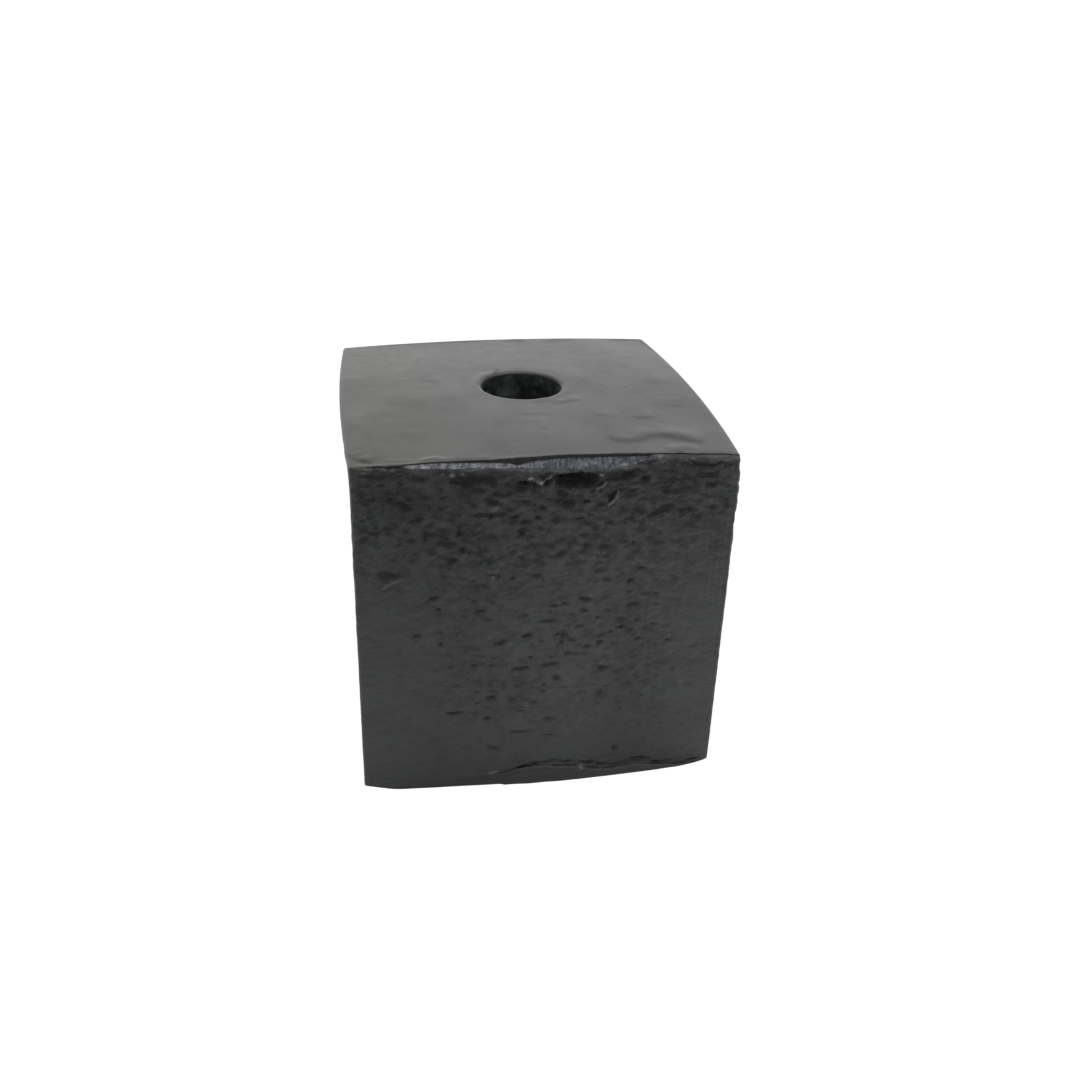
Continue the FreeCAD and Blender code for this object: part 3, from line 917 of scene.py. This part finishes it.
# Relief that every skin shares: slow swells, wrinkles and scattered pits, pushed along the
# sheet's outward direction wherever the sheet may move.
relief = bpy.data.node_groups.new("pressed relief", "GeometryNodeTree")
add_inputs(
    relief,
    [
        ("Geometry", "NodeSocketGeometry", None),
        ("Swell depth", "NodeSocketFloat", 0.00006),
        ("Wrinkle depth", "NodeSocketFloat", 0.00002),
        ("Flatten", "NodeSocketVector", (1, 1, 1.8)),
        ("Pits per area", "NodeSocketFloat", 60000.0),
        ("Pit reach", "NodeSocketFloat", 0.0006),
        ("Pit depth", "NodeSocketFloat", 0.00015),
        ("Seed", "NodeSocketInt", 1),
        ("Film", "NodeSocketMaterial", None),
    ],
)
relief.interface.new_socket("Geometry", in_out="OUTPUT", socket_type="NodeSocketGeometry")
entry, leave = relief.nodes.new("NodeGroupInput"), relief.nodes.new("NodeGroupOutput")


def named(kind, name):
    """What give() stored under a name."""
    node = relief.nodes.new("GeometryNodeInputNamedAttribute")
    node.data_type = kind
    node.inputs["Name"].default_value = name
    return node.outputs["Attribute"]


def maths(operation, first, second=None, third=None):
    """A sum on sockets or plain numbers."""
    node = relief.nodes.new("ShaderNodeMath")
    node.operation = operation
    for slot_number, value in enumerate((first, second, third)):
        if value is None:
            continue
        if isinstance(value, (int, float)):
            node.inputs[slot_number].default_value = value
        else:
            relief.links.new(value, node.inputs[slot_number])
    return node.outputs[0]


def vectors(operation, first, second=None, scale=None):
    """A sum on vectors, with a number for its scale."""
    node = relief.nodes.new("ShaderNodeVectorMath")
    node.operation = operation
    relief.links.new(first, node.inputs[0])
    if second is not None:
        relief.links.new(second, node.inputs[1])
    if scale is not None:
        relief.links.new(scale, node.inputs["Scale"])
    return node.outputs["Value"] if operation == "LENGTH" else node.outputs["Vector"]


def waves(scale, detail):
    """Smooth random waves about nought."""
    node = relief.nodes.new("ShaderNodeTexNoise")
    node.inputs["Scale"].default_value = scale
    node.inputs["Detail"].default_value = detail
    relief.links.new(flattened, node.inputs["Vector"])
    return maths("SUBTRACT", node.outputs["Fac"], 0.5)


position = relief.nodes.new("GeometryNodeInputPosition").outputs[0]
flattened = vectors("MULTIPLY", position, entry.outputs["Flatten"])
free = named("FLOAT", "allow")
outward = named("FLOAT_VECTOR", "outward")
scatter = relief.nodes.new("GeometryNodeDistributePointsOnFaces")
scatter.distribute_method = "RANDOM"
relief.links.new(entry.outputs["Geometry"], scatter.inputs["Mesh"])
relief.links.new(maths("GREATER_THAN", free, 0.5), scatter.inputs["Selection"])
relief.links.new(entry.outputs["Pits per area"], scatter.inputs["Density"])
relief.links.new(entry.outputs["Seed"], scatter.inputs["Seed"])
chance_size = relief.nodes.new("FunctionNodeRandomValue")
chance_size.inputs["Seed"].default_value = 5
store = relief.nodes.new("GeometryNodeStoreNamedAttribute")
store.data_type = "FLOAT"
store.inputs["Name"].default_value = "pit_size"
relief.links.new(scatter.outputs["Points"], store.inputs["Geometry"])
relief.links.new(chance_size.outputs["Value"], store.inputs["Value"])
squash = relief.nodes.new("GeometryNodeSetPosition")
relief.links.new(store.outputs[0], squash.inputs["Geometry"])
relief.links.new(flattened, squash.inputs["Position"])
nearest = relief.nodes.new("GeometryNodeSampleNearest")
nearest.domain = "POINT"
relief.links.new(squash.outputs[0], nearest.inputs["Geometry"])
relief.links.new(flattened, nearest.inputs["Sample Position"])


def sample(kind, value):
    """A value of the pit that lies nearest."""
    node = relief.nodes.new("GeometryNodeSampleIndex")
    node.data_type = kind
    node.domain = "POINT"
    relief.links.new(squash.outputs[0], node.inputs["Geometry"])
    relief.links.new(value, node.inputs["Value"])
    relief.links.new(nearest.outputs["Index"], node.inputs["Index"])
    return node.outputs["Value"]


pit_at = sample("FLOAT_VECTOR", position)
pit_size = sample("FLOAT", named("FLOAT", "pit_size"))
away = vectors("LENGTH", vectors("SUBTRACT", flattened, pit_at))
pit_share = maths("ADD", maths("POWER", pit_size, 3.0), 0.3)
pit_reach = maths("MULTIPLY", entry.outputs["Pit reach"], pit_share)
near = maths("SUBTRACT", 1.0, maths("DIVIDE", away, pit_reach))
near = maths("MAXIMUM", near, 0.0)
dip = maths("MULTIPLY", maths("SMOOTH_MIN", near, 1.0, 0.1), entry.outputs["Pit depth"])
swell = maths("MULTIPLY", waves(220, 2), entry.outputs["Swell depth"])
wrinkle = maths("MULTIPLY", waves(1500, 3), entry.outputs["Wrinkle depth"])
height = maths("SUBTRACT", maths("ADD", swell, wrinkle), dip)
height = maths("MULTIPLY", height, free)
offset = vectors("SCALE", outward, scale=height)
move = relief.nodes.new("GeometryNodeSetPosition")
relief.links.new(entry.outputs["Geometry"], move.inputs["Geometry"])
relief.links.new(offset, move.inputs["Offset"])
real = relief.nodes.new("GeometryNodeRealizeInstances")
paint = relief.nodes.new("GeometryNodeSetMaterial")
relief.links.new(move.outputs[0], real.inputs[0])
relief.links.new(real.outputs[0], paint.inputs["Geometry"])
relief.links.new(entry.outputs["Film"], paint.inputs["Material"])
relief.links.new(paint.outputs[0], leave.inputs[0])


def press(piece, values):
    """Runs the relief on a piece, leaves it a plain mesh and shades it smooth."""
    modifier = piece.modifiers.new("relief", "NODES")
    modifier.node_group = relief
    for item in relief.interface.items_tree:
        if item.in_out == "INPUT" and item.name in values:
            modifier[item.identifier] = values[item.name]
    graph = bpy.context.evaluated_depsgraph_get()
    done = bpy.data.meshes.new_from_object(piece.evaluated_get(graph))
    piece.modifiers.clear()
    old, piece.data = piece.data, done
    bpy.data.meshes.remove(old)
    piece.data.name = piece.name
    for name in ("allow", "outward"):
        piece.data.attributes.remove(piece.data.attributes[name])
    finish_shading(piece)


def finish_shading(piece, crease=50):
    """Smooth shading, but sharp where faces meet at more than the crease angle."""
    piece.data.polygons.foreach_set("use_smooth", [True] * len(piece.data.polygons))
    piece.data.set_sharp_from_angle(angle=math.radians(crease))
    piece.data.update()


finish_shading(core, 60)


# Pale grey for rubbed spots and painted highlights; near black for dust and painted shade.
RUBBED_AND_HIGHLIGHT_GREY, SHADE_AND_SOOT_BLACK = (0.34, 0.35, 0.34), (0.004, 0.004, 0.004)
TINT_SHARE = 0.45


def film_material(name, dark, pale, roughness, blotch_tint, grain_size, stretch, coarse, bump_reach):
    """Dried black film: near-black, patchy in sheen, with the grain printed through."""
    material, tree, shader = new_material(name, roughness)
    speck = tree.nodes.new("ShaderNodeGroup")
    speck.node_tree = grain
    speck.inputs["Size"].default_value = grain_size
    speck.inputs["Stretch"].default_value = stretch
    base = ramp(tree, speck.outputs["Mask"], 0.3, 0.72, dark, pale)
    tint = ramp(tree, speck.outputs["Blotch"], 0.4, 0.65, dark, blotch_tint)
    colour = blend_colour(tree, TINT_SHARE, base, tint)
    # Paler where the film is rubbed and at painted highlights.
    colour = blend_colour(tree, attribute(tree, "rubbed_and_highlit"), colour, RUBBED_AND_HIGHLIGHT_GREY)
    # Darker with dust and painted shade, and the same mask dulls the reflection there.
    colour = blend_colour(tree, attribute(tree, "dust_and_shade"), colour, SHADE_AND_SOOT_BLACK)
    tree.links.new(colour, shader.inputs["Base Color"])
    dull = spread(tree, attribute(tree, "dust_and_shade"), 0.0, 1.0, 0.5, 0.1)
    tree.links.new(dull, shader.inputs["Specular IOR Level"])
    uneven = 0.3 + 0.7 * coarse
    smoothest, roughest = roughness - 0.07 * uneven, roughness + 0.1 * uneven
    shine = spread(tree, speck.outputs["Mask"], 0.3, 0.7, smoothest, roughest)
    tree.links.new(shine, shader.inputs["Roughness"])
    rough = bump(tree, speck.outputs["Height"], coarse, bump_reach)
    strength = spread(tree, attribute(tree, "crumpled"), 0.0, 1.0, coarse * 0.25, coarse)
    tree.links.new(strength, rough.inputs["Strength"])
    tree.links.new(rough.outputs["Normal"], shader.inputs["Normal"])
    return material, tree, shader


side_film, tree, shader = film_material(
    "side film", dark=(0.013, 0.013, 0.013), pale=(0.042, 0.042, 0.042), roughness=0.48,
    blotch_tint=(0.030, 0.033, 0.033), grain_size=0.9, stretch=(1, 1, 1.5), coarse=1.0,
    bump_reach=0.00068,
)
# Faint green-blue cast where the film is thick, in the same broad blotches as its colour.
coordinates = tree.nodes.new("ShaderNodeTexCoord")
drawn_out = tree.nodes.new("ShaderNodeMapping")
drawn_out.inputs["Scale"].default_value = (0.9, 0.9, 1.35)
tree.links.new(coordinates.outputs["Object"], drawn_out.inputs["Vector"])
thick = noise_node(tree, drawn_out.outputs["Vector"], 130, 3)
cast = ramp(tree, thick.outputs["Fac"], 0.56, 0.70, (1, 1, 1), (0.92, 1.0, 0.985))
tree.links.new(cast, shader.inputs["Specular Tint"])
sheets = [
    ("side_skin_front", side_run(0, 270, 0, True, 0.5), 258, True),
    ("side_skin_right", side_run(1, 210), 190, False),
    ("side_skin_back", side_run(2, 210, 0, True), 190, False),
    ("side_skin_left", side_run(3, 210), 190, False),
]
for number, (name, (run, outs), rise_steps, is_front) in enumerate(sheets):
    sheet = skin_sheet(name, run, outs, rise_steps, is_front)
    press(sheet, {
        "Swell depth": 0.00008 if is_front else 0.00030,
        "Wrinkle depth": 0.00006,
        "Flatten": (1.0, 1.0, 2.0) if is_front else (0.8, 0.8, 2.4),
        "Pits per area": 120000.0,
        "Pit reach": 0.00065 if is_front else 0.0013,
        "Pit depth": 0.00008 if is_front else 0.00026,
        "Seed": 11 + number,
        "Film": side_film,
    })
    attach(sheet, "root")
    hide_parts("side_skin")

# ---------------------------------------------------------------- top skin
# The film over the top: a thin cap laid over the crowned face and rolled into the mouth of
# the hole. It turns down over the back and sides, and stops short, with its edge standing up,
# where the front edge of the block has broken.

# Folds of the top: points along the fold, half width, depth of the furrow, and height of the
# ledge that falls away in front of it.
top_folds = [
    ([(9.0, -19.4), (12.2, -19.3), (14.4, -18.0), (16.0, -17.8), (18.0, -19.0), (21.2, -20.4)],
     1.1, 0.1, 0.42),
    ([(15.4, -17.6), (18.4, -18.6), (21.4, -20.2)], 0.8, 0.2, 0.2),
    ([(15.6, -22.9), (17.8, -22.2), (19.8, -22.6)], 0.9, -0.8, 0.0),
    ([(3.4, -6.2), (5.8, -5.3), (8.2, -4.3)], 0.6, 0.26, 0.2),
    ([(8.6, 12.6), (12.0, 9.2), (14.0, 4.5), (14.3, -1.0), (13.0, -5.8)], 1.2, 0.14, 0.08),
    ([(10.5, 15.2), (15.0, 11.6), (17.8, 5.8), (18.3, 0.0)], 1.3, 0.11, 0.06),
    ([(8.2, 6.6), (10.4, 4.2), (11.3, 0.2), (10.4, -3.6)], 0.9, 0.10, 0.06),
    ([(-3.6, -10.8), (-1.6, -9.8), (1.4, -9.7), (3.0, -10.6)], 0.55, -0.12, 0.0),
    ([(-3.0, -12.2), (0.2, -12.6), (3.4, -12.2)], 0.7, -0.14, 0.0),
    ([(8.6, -10.2), (10.6, -10.9), (12.4, -10.5)], 0.8, -0.22, 0.0),
    ([(13.4, -11.4), (15.2, -12.2), (17.2, -11.6)], 0.7, 0.26, 0.16),
    ([(12.2, 16.6), (15.8, 16.0)], 1.0, 0.2, 0.1),
    ([(18.6, 3.2), (21.0, 2.4), (23.6, 2.6)], 1.0, 0.2, 0.12),
    ([(17.6, -6.2), (20.5, -7.2), (23.8, -6.9)], 0.9, 0.24, 0.14),
    ([(-23.4, 5.6), (-21.4, 7.3)], 1.0, 0.3, 0.1),
    ([(-17.6, 8.8), (-13.6, 9.8)], 0.8, 0.16, 0.08),
    ([(-18.6, -15.2), (-15.2, -16.8)], 0.8, 0.2, 0.1),
    ([(-22.2, -15.4), (-20.2, -17.4), (-18.6, -17.0)], 0.6, 0.16, 0.1),
    ([(-23.9, -22.0), (-21.8, -23.6)], 0.55, 0.3, 0.2),
    ([(-24.4, -20.4), (-23.6, -21.8)], 0.4, 0.2, 0.15),
    ([(-20.4, -23.6), (-18.2, -23.9), (-16.6, -24.2)], 0.4, -0.2, 0.0),
    ([(-16.8, -24.3), (-14.4, -23.9), (-12.4, -24.3)], 0.45, -0.7, 0.0),
    ([(-13.6, 6.0), (-11.2, 4.2)], 0.6, 0.2, 0.12),
    ([(-6.0, 16.4), (-1.0, 17.4), (3.0, 17.2)], 0.9, 0.14, 0.08),
    ([(-9.4, -23.9), (-7.0, -24.0)], 0.35, -0.16, 0.0),
    ([(1.0, 25.2), (4.8, 25.6)], 0.8, -0.7, 0.0),
    ([(7.6, 25.6), (13.6, 25.4)], 0.9, -0.5, 0.0),
]


def top_relief(x, y):
    """How far the top stands above its crown, in millimetres."""
    wx = x + 0.35 * value_noise(x, y, 2.2, 61)
    wy = y + 0.35 * value_noise(x, y, 2.2, 62)
    height = 0.12 * value_noise(x, y * 0.8, 6.5, 63) + 0.010 * value_noise(x, y * 0.8, 2.6, 64)
    height += 0.002 * value_noise(x, y * 0.8, 0.9, 65)
    for line, half_width, furrow, ledge in top_folds:
        lengths = [math.dist(a, b) for a, b in zip(line, line[1:])]
        nearest_gap, side, reached = np.full(x.shape, 1e9), np.zeros(x.shape), np.zeros(x.shape)
        for number, (start, end) in enumerate(zip(line, line[1:])):
            free, gap = from_segment(wx, wy, start, end)
            closer = gap < nearest_gap
            nearest_gap = np.where(closer, gap, nearest_gap)
            dx, dy = end[0] - start[0], end[1] - start[1]
            across = ((wx - start[0]) * dy - (wy - start[1]) * dx) / lengths[number]
            past_end = (free < 0) * (number == 0) + (free > 1) * (number == len(lengths) - 1)
            side = np.where(closer, np.where(past_end, across, np.sign(across) * gap), side)
            along = sum(lengths[:number]) + np.clip(free, 0, 1) * lengths[number]
            reached = np.where(closer, along / sum(lengths), reached)
        taper = np.clip(4 * reached * (1 - reached), 0, 1) ** 0.8
        g = nearest_gap / half_width
        height -= 0.2 * furrow * taper * np.exp(-((g * 0.8) ** 2))
        beyond = np.sqrt(np.maximum(nearest_gap**2 - side**2, 0))
        steep = np.where(side > 0, 0.9, 2.4) * half_width
        height += 0.55 * ledge * taper * np.exp(-((side / steep) ** 2) - (beyond / 0.8) ** 2)
    edge = y - front_y - set_back(x)
    height += 0.06 * np.exp(-((edge / 0.4) ** 2)) * smooth_step(-18, -15, x)
    hole_edge = np.hypot(x - HOLE_X, y - HOLE_Y) - HOLE_R
    height += 0.02 * np.exp(-(((hole_edge - 0.9) / 0.7) ** 2)) * smooth_step(2.0, -2.5, y)
    return height


# Dark smudges along the furrows: painted shade of the folds, partly charcoal dust rubbed in. Columns:
# points along the smudge, half width, darkness.
top_furrow_shade_and_dust = [
    ([(9.4, -19.6), (12.2, -19.7), (14.6, -18.4), (16.2, -18.3), (18.0, -19.4), (20.9, -20.7)],
     1.2, 0.5),
    ([(16.8, -23.8), (17.4, -23.9)], 0.5, 0.6),
    ([(14.6, -12.1), (15.8, -12.2)], 0.7, 0.5),
    ([(9.0, -11.0), (10.0, -11.1)], 0.7, 0.32),
    ([(4.4, -5.8), (7.4, -5.1)], 0.5, 0.3),
    ([(10.0, -14.9), (10.8, -14.9)], 0.8, 0.2),
    ([(-24.2, 6.6), (-22.4, 4.6)], 1.5, 0.3),
    ([(-13.4, 5.8), (-12.2, 4.6)], 0.9, 0.3),
    ([(-20.2, -15.6), (-18.4, -16.4), (-16.0, -16.6)], 1.0, 0.28),
    ([(-24.0, -22.8), (-22.4, -24.0)], 0.7, 0.8),
    ([(-24.8, -21.6), (-24.3, -23.0)], 0.5, 0.7),
    ([(2.6, 17.6), (7.2, 17.4)], 1.1, 0.18),
    ([(19.0, 17.6), (22.2, 16.8)], 1.2, 0.22),
    ([(-11.2, -18.6), (-9.6, -18.4)], 0.9, 0.2),
    ([(21.0, -3.2), (23.2, -4.4)], 1.0, 0.18),
    ([(-2.6, 7.4), (-2.1, 9.2)], 0.5, 0.9),
]


def top_dust_and_shade(x, y):
    """How dark the top is painted: darker in front, in the furrows and black round the hole, which is
    painted shade, with patches of dust besides.
    """
    # Darker towards the front of the top: painted shade.
    across = np.interp(x, [-25, -10, -4, 3, 10, 25], [0.10, 0.08, 0.03, 0.02, 0.10, 0.15])
    soot = 1.5 * across * smooth_step(12, -6, y)
    soot += 0.16 * np.maximum(value_noise(x, y * 0.7, 2.8, 70), 0)
    soot += 0.14 * np.maximum(value_noise(x, y * 0.6, 1.2, 71), 0) * smooth_step(15, -5, x)
    wander = 0.3 * value_noise(x, y, 1.4, 68) + 0.12 * value_noise(x, y, 0.5, 69)
    for line, half_width, dark in top_furrow_shade_and_dust:
        for start, end in zip(line, line[1:]):
            gap = from_segment(x, y, start, end)[1] / half_width
            soot = np.maximum(soot, dark * np.exp(-np.maximum(gap + wander, 0) ** 2))
    # The rim of the hole is painted black, widest at the far side: painted shade round its mouth.
    far = np.sin(np.arctan2(y - HOLE_Y, x - HOLE_X))
    gap = np.hypot(x - HOLE_X, y - HOLE_Y) - HOLE_R + 0.25 * wander
    return np.maximum(soot, 0.85 * smooth_step(0.6 + 0.9 * np.maximum(far, 0), 0.0, gap) ** 1.5)


outline, outs = whole_outline(300, 150, 160)
ox, oy = outline[:, 0], outline[:, 1]
broken_front = smooth_step(front_y + 1.6, front_y + 0.5, oy)
held_back = set_back(ox) * broken_front
oy = np.where(broken_front > 0, np.maximum(oy, front_y + held_back), oy)
torn = np.clip(held_back / 0.25, 0, 1)
angle = np.arctan2(oy - HOLE_Y, ox - HOLE_X)
rows, allow = [], []


def ring_row(inset_from_edge, below, free_amount):
    """One row round the outline, so far in from it and so far below the crown."""
    x, y = ox - outs[:, 0] * inset_from_edge, oy - outs[:, 1] * inset_from_edge
    rows.append([x, y, top_z(x, y) - below])
    allow.append(np.full_like(ox, free_amount))


WHOLE_ROUNDING, TORN_ROUNDING = 0.34, 0.05
round_over = WHOLE_ROUNDING * (1 - torn) + TORN_ROUNDING
edge_thick = SKIN + (along_edge(ox, torn_at) - SKIN) * torn
# The underside, from the hole outwards, then up round the outer edge.
for share in (0.0, 0.33, 0.66, 0.97):
    x = HOLE_X + HOLE_R * np.cos(angle) + (ox - HOLE_X - HOLE_R * np.cos(angle)) * share
    y = HOLE_Y + HOLE_R * np.sin(angle) + (oy - HOLE_Y - HOLE_R * np.sin(angle)) * share
    rows.append([x, y, top_z(x, y) - SKIN])
    allow.append(np.zeros_like(ox))
ring_row(0.25 * torn, SKIN, 0.0)
ring_row(0.0, edge_thick, 0.0)
for turn in (15, 40, 65, 90):
    c, s = math.cos(math.radians(turn)), math.sin(math.radians(turn))
    ring_row(round_over * (1 - c), round_over * (1 - s), 0.3 * s)
edge_x, edge_y = rows[-1][0], rows[-1][1]
# The film rolls into the hole, widest at the far side, with one nick in it at the far left.
RIM_FAR, RIM_NEAR = 1.1, 0.4
mouth = 0.5 * (RIM_FAR + RIM_NEAR) + 0.5 * (RIM_FAR - RIM_NEAR) * np.sin(angle)
mouth = mouth + 0.14 * value_noise(angle * HOLE_R, ox * 0, 1.6, 66)
mouth = mouth + 0.25 * np.exp(-(((angle - 2.3) / 0.1) ** 2))
inner_x = HOLE_X + (HOLE_R + mouth) * np.cos(angle)
inner_y = HOLE_Y + (HOLE_R + mouth) * np.sin(angle)
top_rows = 100
for share in np.linspace(0, 1, top_rows + 1)[1:]:
    x, y = edge_x + (inner_x - edge_x) * share, edge_y + (inner_y - edge_y) * share
    kept_flush = smooth_step(0, 0.03, share), smooth_step(1.0, 0.93, share)
    rows.append([x, y, top_z(x, y) + top_relief(x, y) * kept_flush[0] * kept_flush[1]])
    allow.append(np.full_like(ox, 1.0 if 0.02 < share < 0.98 else 0.3))
for turn in (25, 50, 72, 90):
    c, s = math.cos(math.radians(turn)), math.sin(math.radians(turn))
    r = HOLE_R + mouth * (1 - s)
    x, y = HOLE_X + r * np.cos(angle), HOLE_Y + r * np.sin(angle)
    rows.append([x, y, top_z(x, y) - np.minimum(mouth, SKIN) * (1 - c)])
    allow.append(np.full_like(ox, 0.2))
top_points = np.array([np.stack(settle(x, y, z), axis=-1) for x, y, z in rows])
top_skin = make_piece("top_skin_cap", top_points[::-1], True, True)
allow = np.array(allow)[::-1]
give(top_skin.data, "allow", allow)
upwards = np.zeros(top_points.shape)
upwards[:, :, 2] = 1
give(top_skin.data, "outward", upwards, "FLOAT_VECTOR")
give(top_skin.data, "rubbed_and_highlit", np.zeros(allow.shape))
give(top_skin.data, "dust_and_shade", top_dust_and_shade(*top_points[::-1, :, :2].reshape(-1, 2).T))
give(top_skin.data, "crumpled", np.full(allow.shape, 0.6))
top_film, tree, shader = film_material(
    "top film", dark=(0.012, 0.012, 0.012), pale=(0.024, 0.024, 0.024), roughness=0.405,
    blotch_tint=(0.026, 0.026, 0.025), grain_size=0.8, stretch=(1, 1, 1), coarse=0.06,
    bump_reach=0.00016,
)
# A faint olive cast over the left third of the top.
from_left = spread(tree, axes(tree, "Object")["X"], -0.022, -0.006, 0.0, 1.0)
cast = ramp(tree, from_left, 0.0, 1.0, (1.0, 1.0, 0.85), (0.99, 0.99, 1.0))
tree.links.new(cast, shader.inputs["Specular Tint"])
press(top_skin, {
    "Swell depth": 0.00002,
    "Wrinkle depth": 0.0000015,
    "Flatten": (1.0, 1.0, 1.0),
    "Pits per area": 9000.0,
    "Pit reach": 0.0008,
    "Pit depth": 0.00004,
    "Seed": 31,
    "Film": top_film,
})
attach(top_skin, "root")
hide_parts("top_skin")

# ---------------------------------------------------------------- base skin
# The sheet the block was stood on to dry: flat underneath, cut round the hole, and squeezed
# out along the right of the front into a thick ragged lip that turns up against the face.
outline, outs = whole_outline(260, 90, 100)
ox, oy = outline[:, 0], outline[:, 1]
facing = smooth_step(front_y + 1.0, front_y + 0.3, oy)
angle = np.arctan2(oy - HOLE_Y, ox - HOLE_X)
bore = HOLE_R + 0.05
tall = lip_height(ox) * facing
ragged = 0.10 * wave(ox, 1.9, 71) + 0.03 * wave(ox, 0.6, 72)
tall = np.maximum(tall * (1 + ragged * 1.2), 0)
swell_x = [-18, -11, -6.2, -5.6, -5.0, 0, 6, 12, 20, 23.4]
swell_by = [0, 0.15, 0.3, 0.34, 0.62, 0.75, 0.8, 0.62, 0.4, 0]
swell = facing * np.interp(ox, swell_x, swell_by)
swell = swell * (1 + 0.12 * wave(ox, 2.3, 73))
rows, allow = [], []


def foot_row(outward_by, up_by, free_amount):
    """One row round the outline, so far out from it and so far up from the floor."""
    x, y = ox + outs[:, 0] * outward_by, oy + outs[:, 1] * outward_by
    rows.append([x, y, up_by + 0 * ox])
    allow.append(np.full_like(ox, free_amount))


def flat_row(share, inset, z):
    """One flat row, a share of the way from the hole to the outline."""
    x = HOLE_X + bore * np.cos(angle) * (1 - share) + (ox - outs[:, 0] * inset - HOLE_X) * share
    y = HOLE_Y + bore * np.sin(angle) * (1 - share) + (oy - outs[:, 1] * inset - HOLE_Y) * share
    rows.append([x, y, np.full_like(x, z)])
    allow.append(np.zeros_like(ox))


underside_rows, rounded_off, least_lip = 56, 0.3, 0.3
for share in np.linspace(0, 1, underside_rows):
    flat_row(share, rounded_off, 0.0)
foot_row(swell - 0.12, 0.02, 0.0)
foot_row(swell - 0.03, 0.10, 0.2)
rising = np.maximum(tall, least_lip) - least_lip
lipped = np.clip(tall / 0.8, 0, 1)
# Over the lip from its front to its back: share of the swell, way out where there is a lip,
# height at the foot, share of the lip's height, and how free the film is.
for out_share, out_by, up_by, up_share, free_amount in (
    (1.0, 0.02, 0.22, 0.25, 0.6), (0.97, 0, 0.27, 0.50, 0.8), (0.86, 0, 0.31, 0.74, 0.8),
    (0.66, 0, 0.34, 0.90, 0.6), (0.42, 0, 0.36, 0.98, 0.4), (0.20, 0, 0.37, 1.02, 0.2),
    (0.05, -0.08, 0.38, 1.0, 0.0), (0.0, -0.2, 0.39, 0.70, 0.0),
):
    foot_row(swell * out_share + out_by * lipped, up_by + up_share * rising * lipped, free_amount)
foot_row(-0.02, SKIN, 0.0)
for share in (0.8, 0.5, 0.2, 0.0):
    flat_row(share, 0.0, SKIN)
base_points = np.array([np.stack(settle(x, y, z), axis=-1) for x, y, z in rows])
base_skin = make_piece("base_skin_sheet", base_points[::-1], True, True)
allow = np.array(allow)[::-1]
give(base_skin.data, "allow", allow)
full = np.zeros(base_points.shape)
full[:, :, :2] = outs[None]
give(base_skin.data, "outward", full[::-1], "FLOAT_VECTOR")
x, y, z = base_points[::-1].reshape(-1, 3).T
# Pale marks on the lip: partly rubbed film, partly painted highlight.
give(base_skin.data, "rubbed_and_highlit", near_lines(x, z, rub_and_highlight_lines) * (y < front_y))
give(base_skin.data, "dust_and_shade", np.zeros(allow.shape))
give(base_skin.data, "crumpled", np.full(allow.shape, 0.6))
base_film, _, _ = film_material(
    "base film", dark=(0.016, 0.017, 0.017), pale=(0.030, 0.032, 0.031), roughness=0.44,
    blotch_tint=(0.034, 0.039, 0.036), grain_size=0.7, stretch=(0.8, 1, 1.2), coarse=0.5,
    bump_reach=0.00016,
)
press(base_skin, {
    "Swell depth": 0.0002,
    "Wrinkle depth": 0.00004,
    "Flatten": (1.0, 1.0, 1.6),
    "Pits per area": 3000.0,
    "Pit reach": 0.0006,
    "Pit depth": 0.00005,
    "Seed": 41,
    "Film": base_film,
})
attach(base_skin, "root")
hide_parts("base_skin")
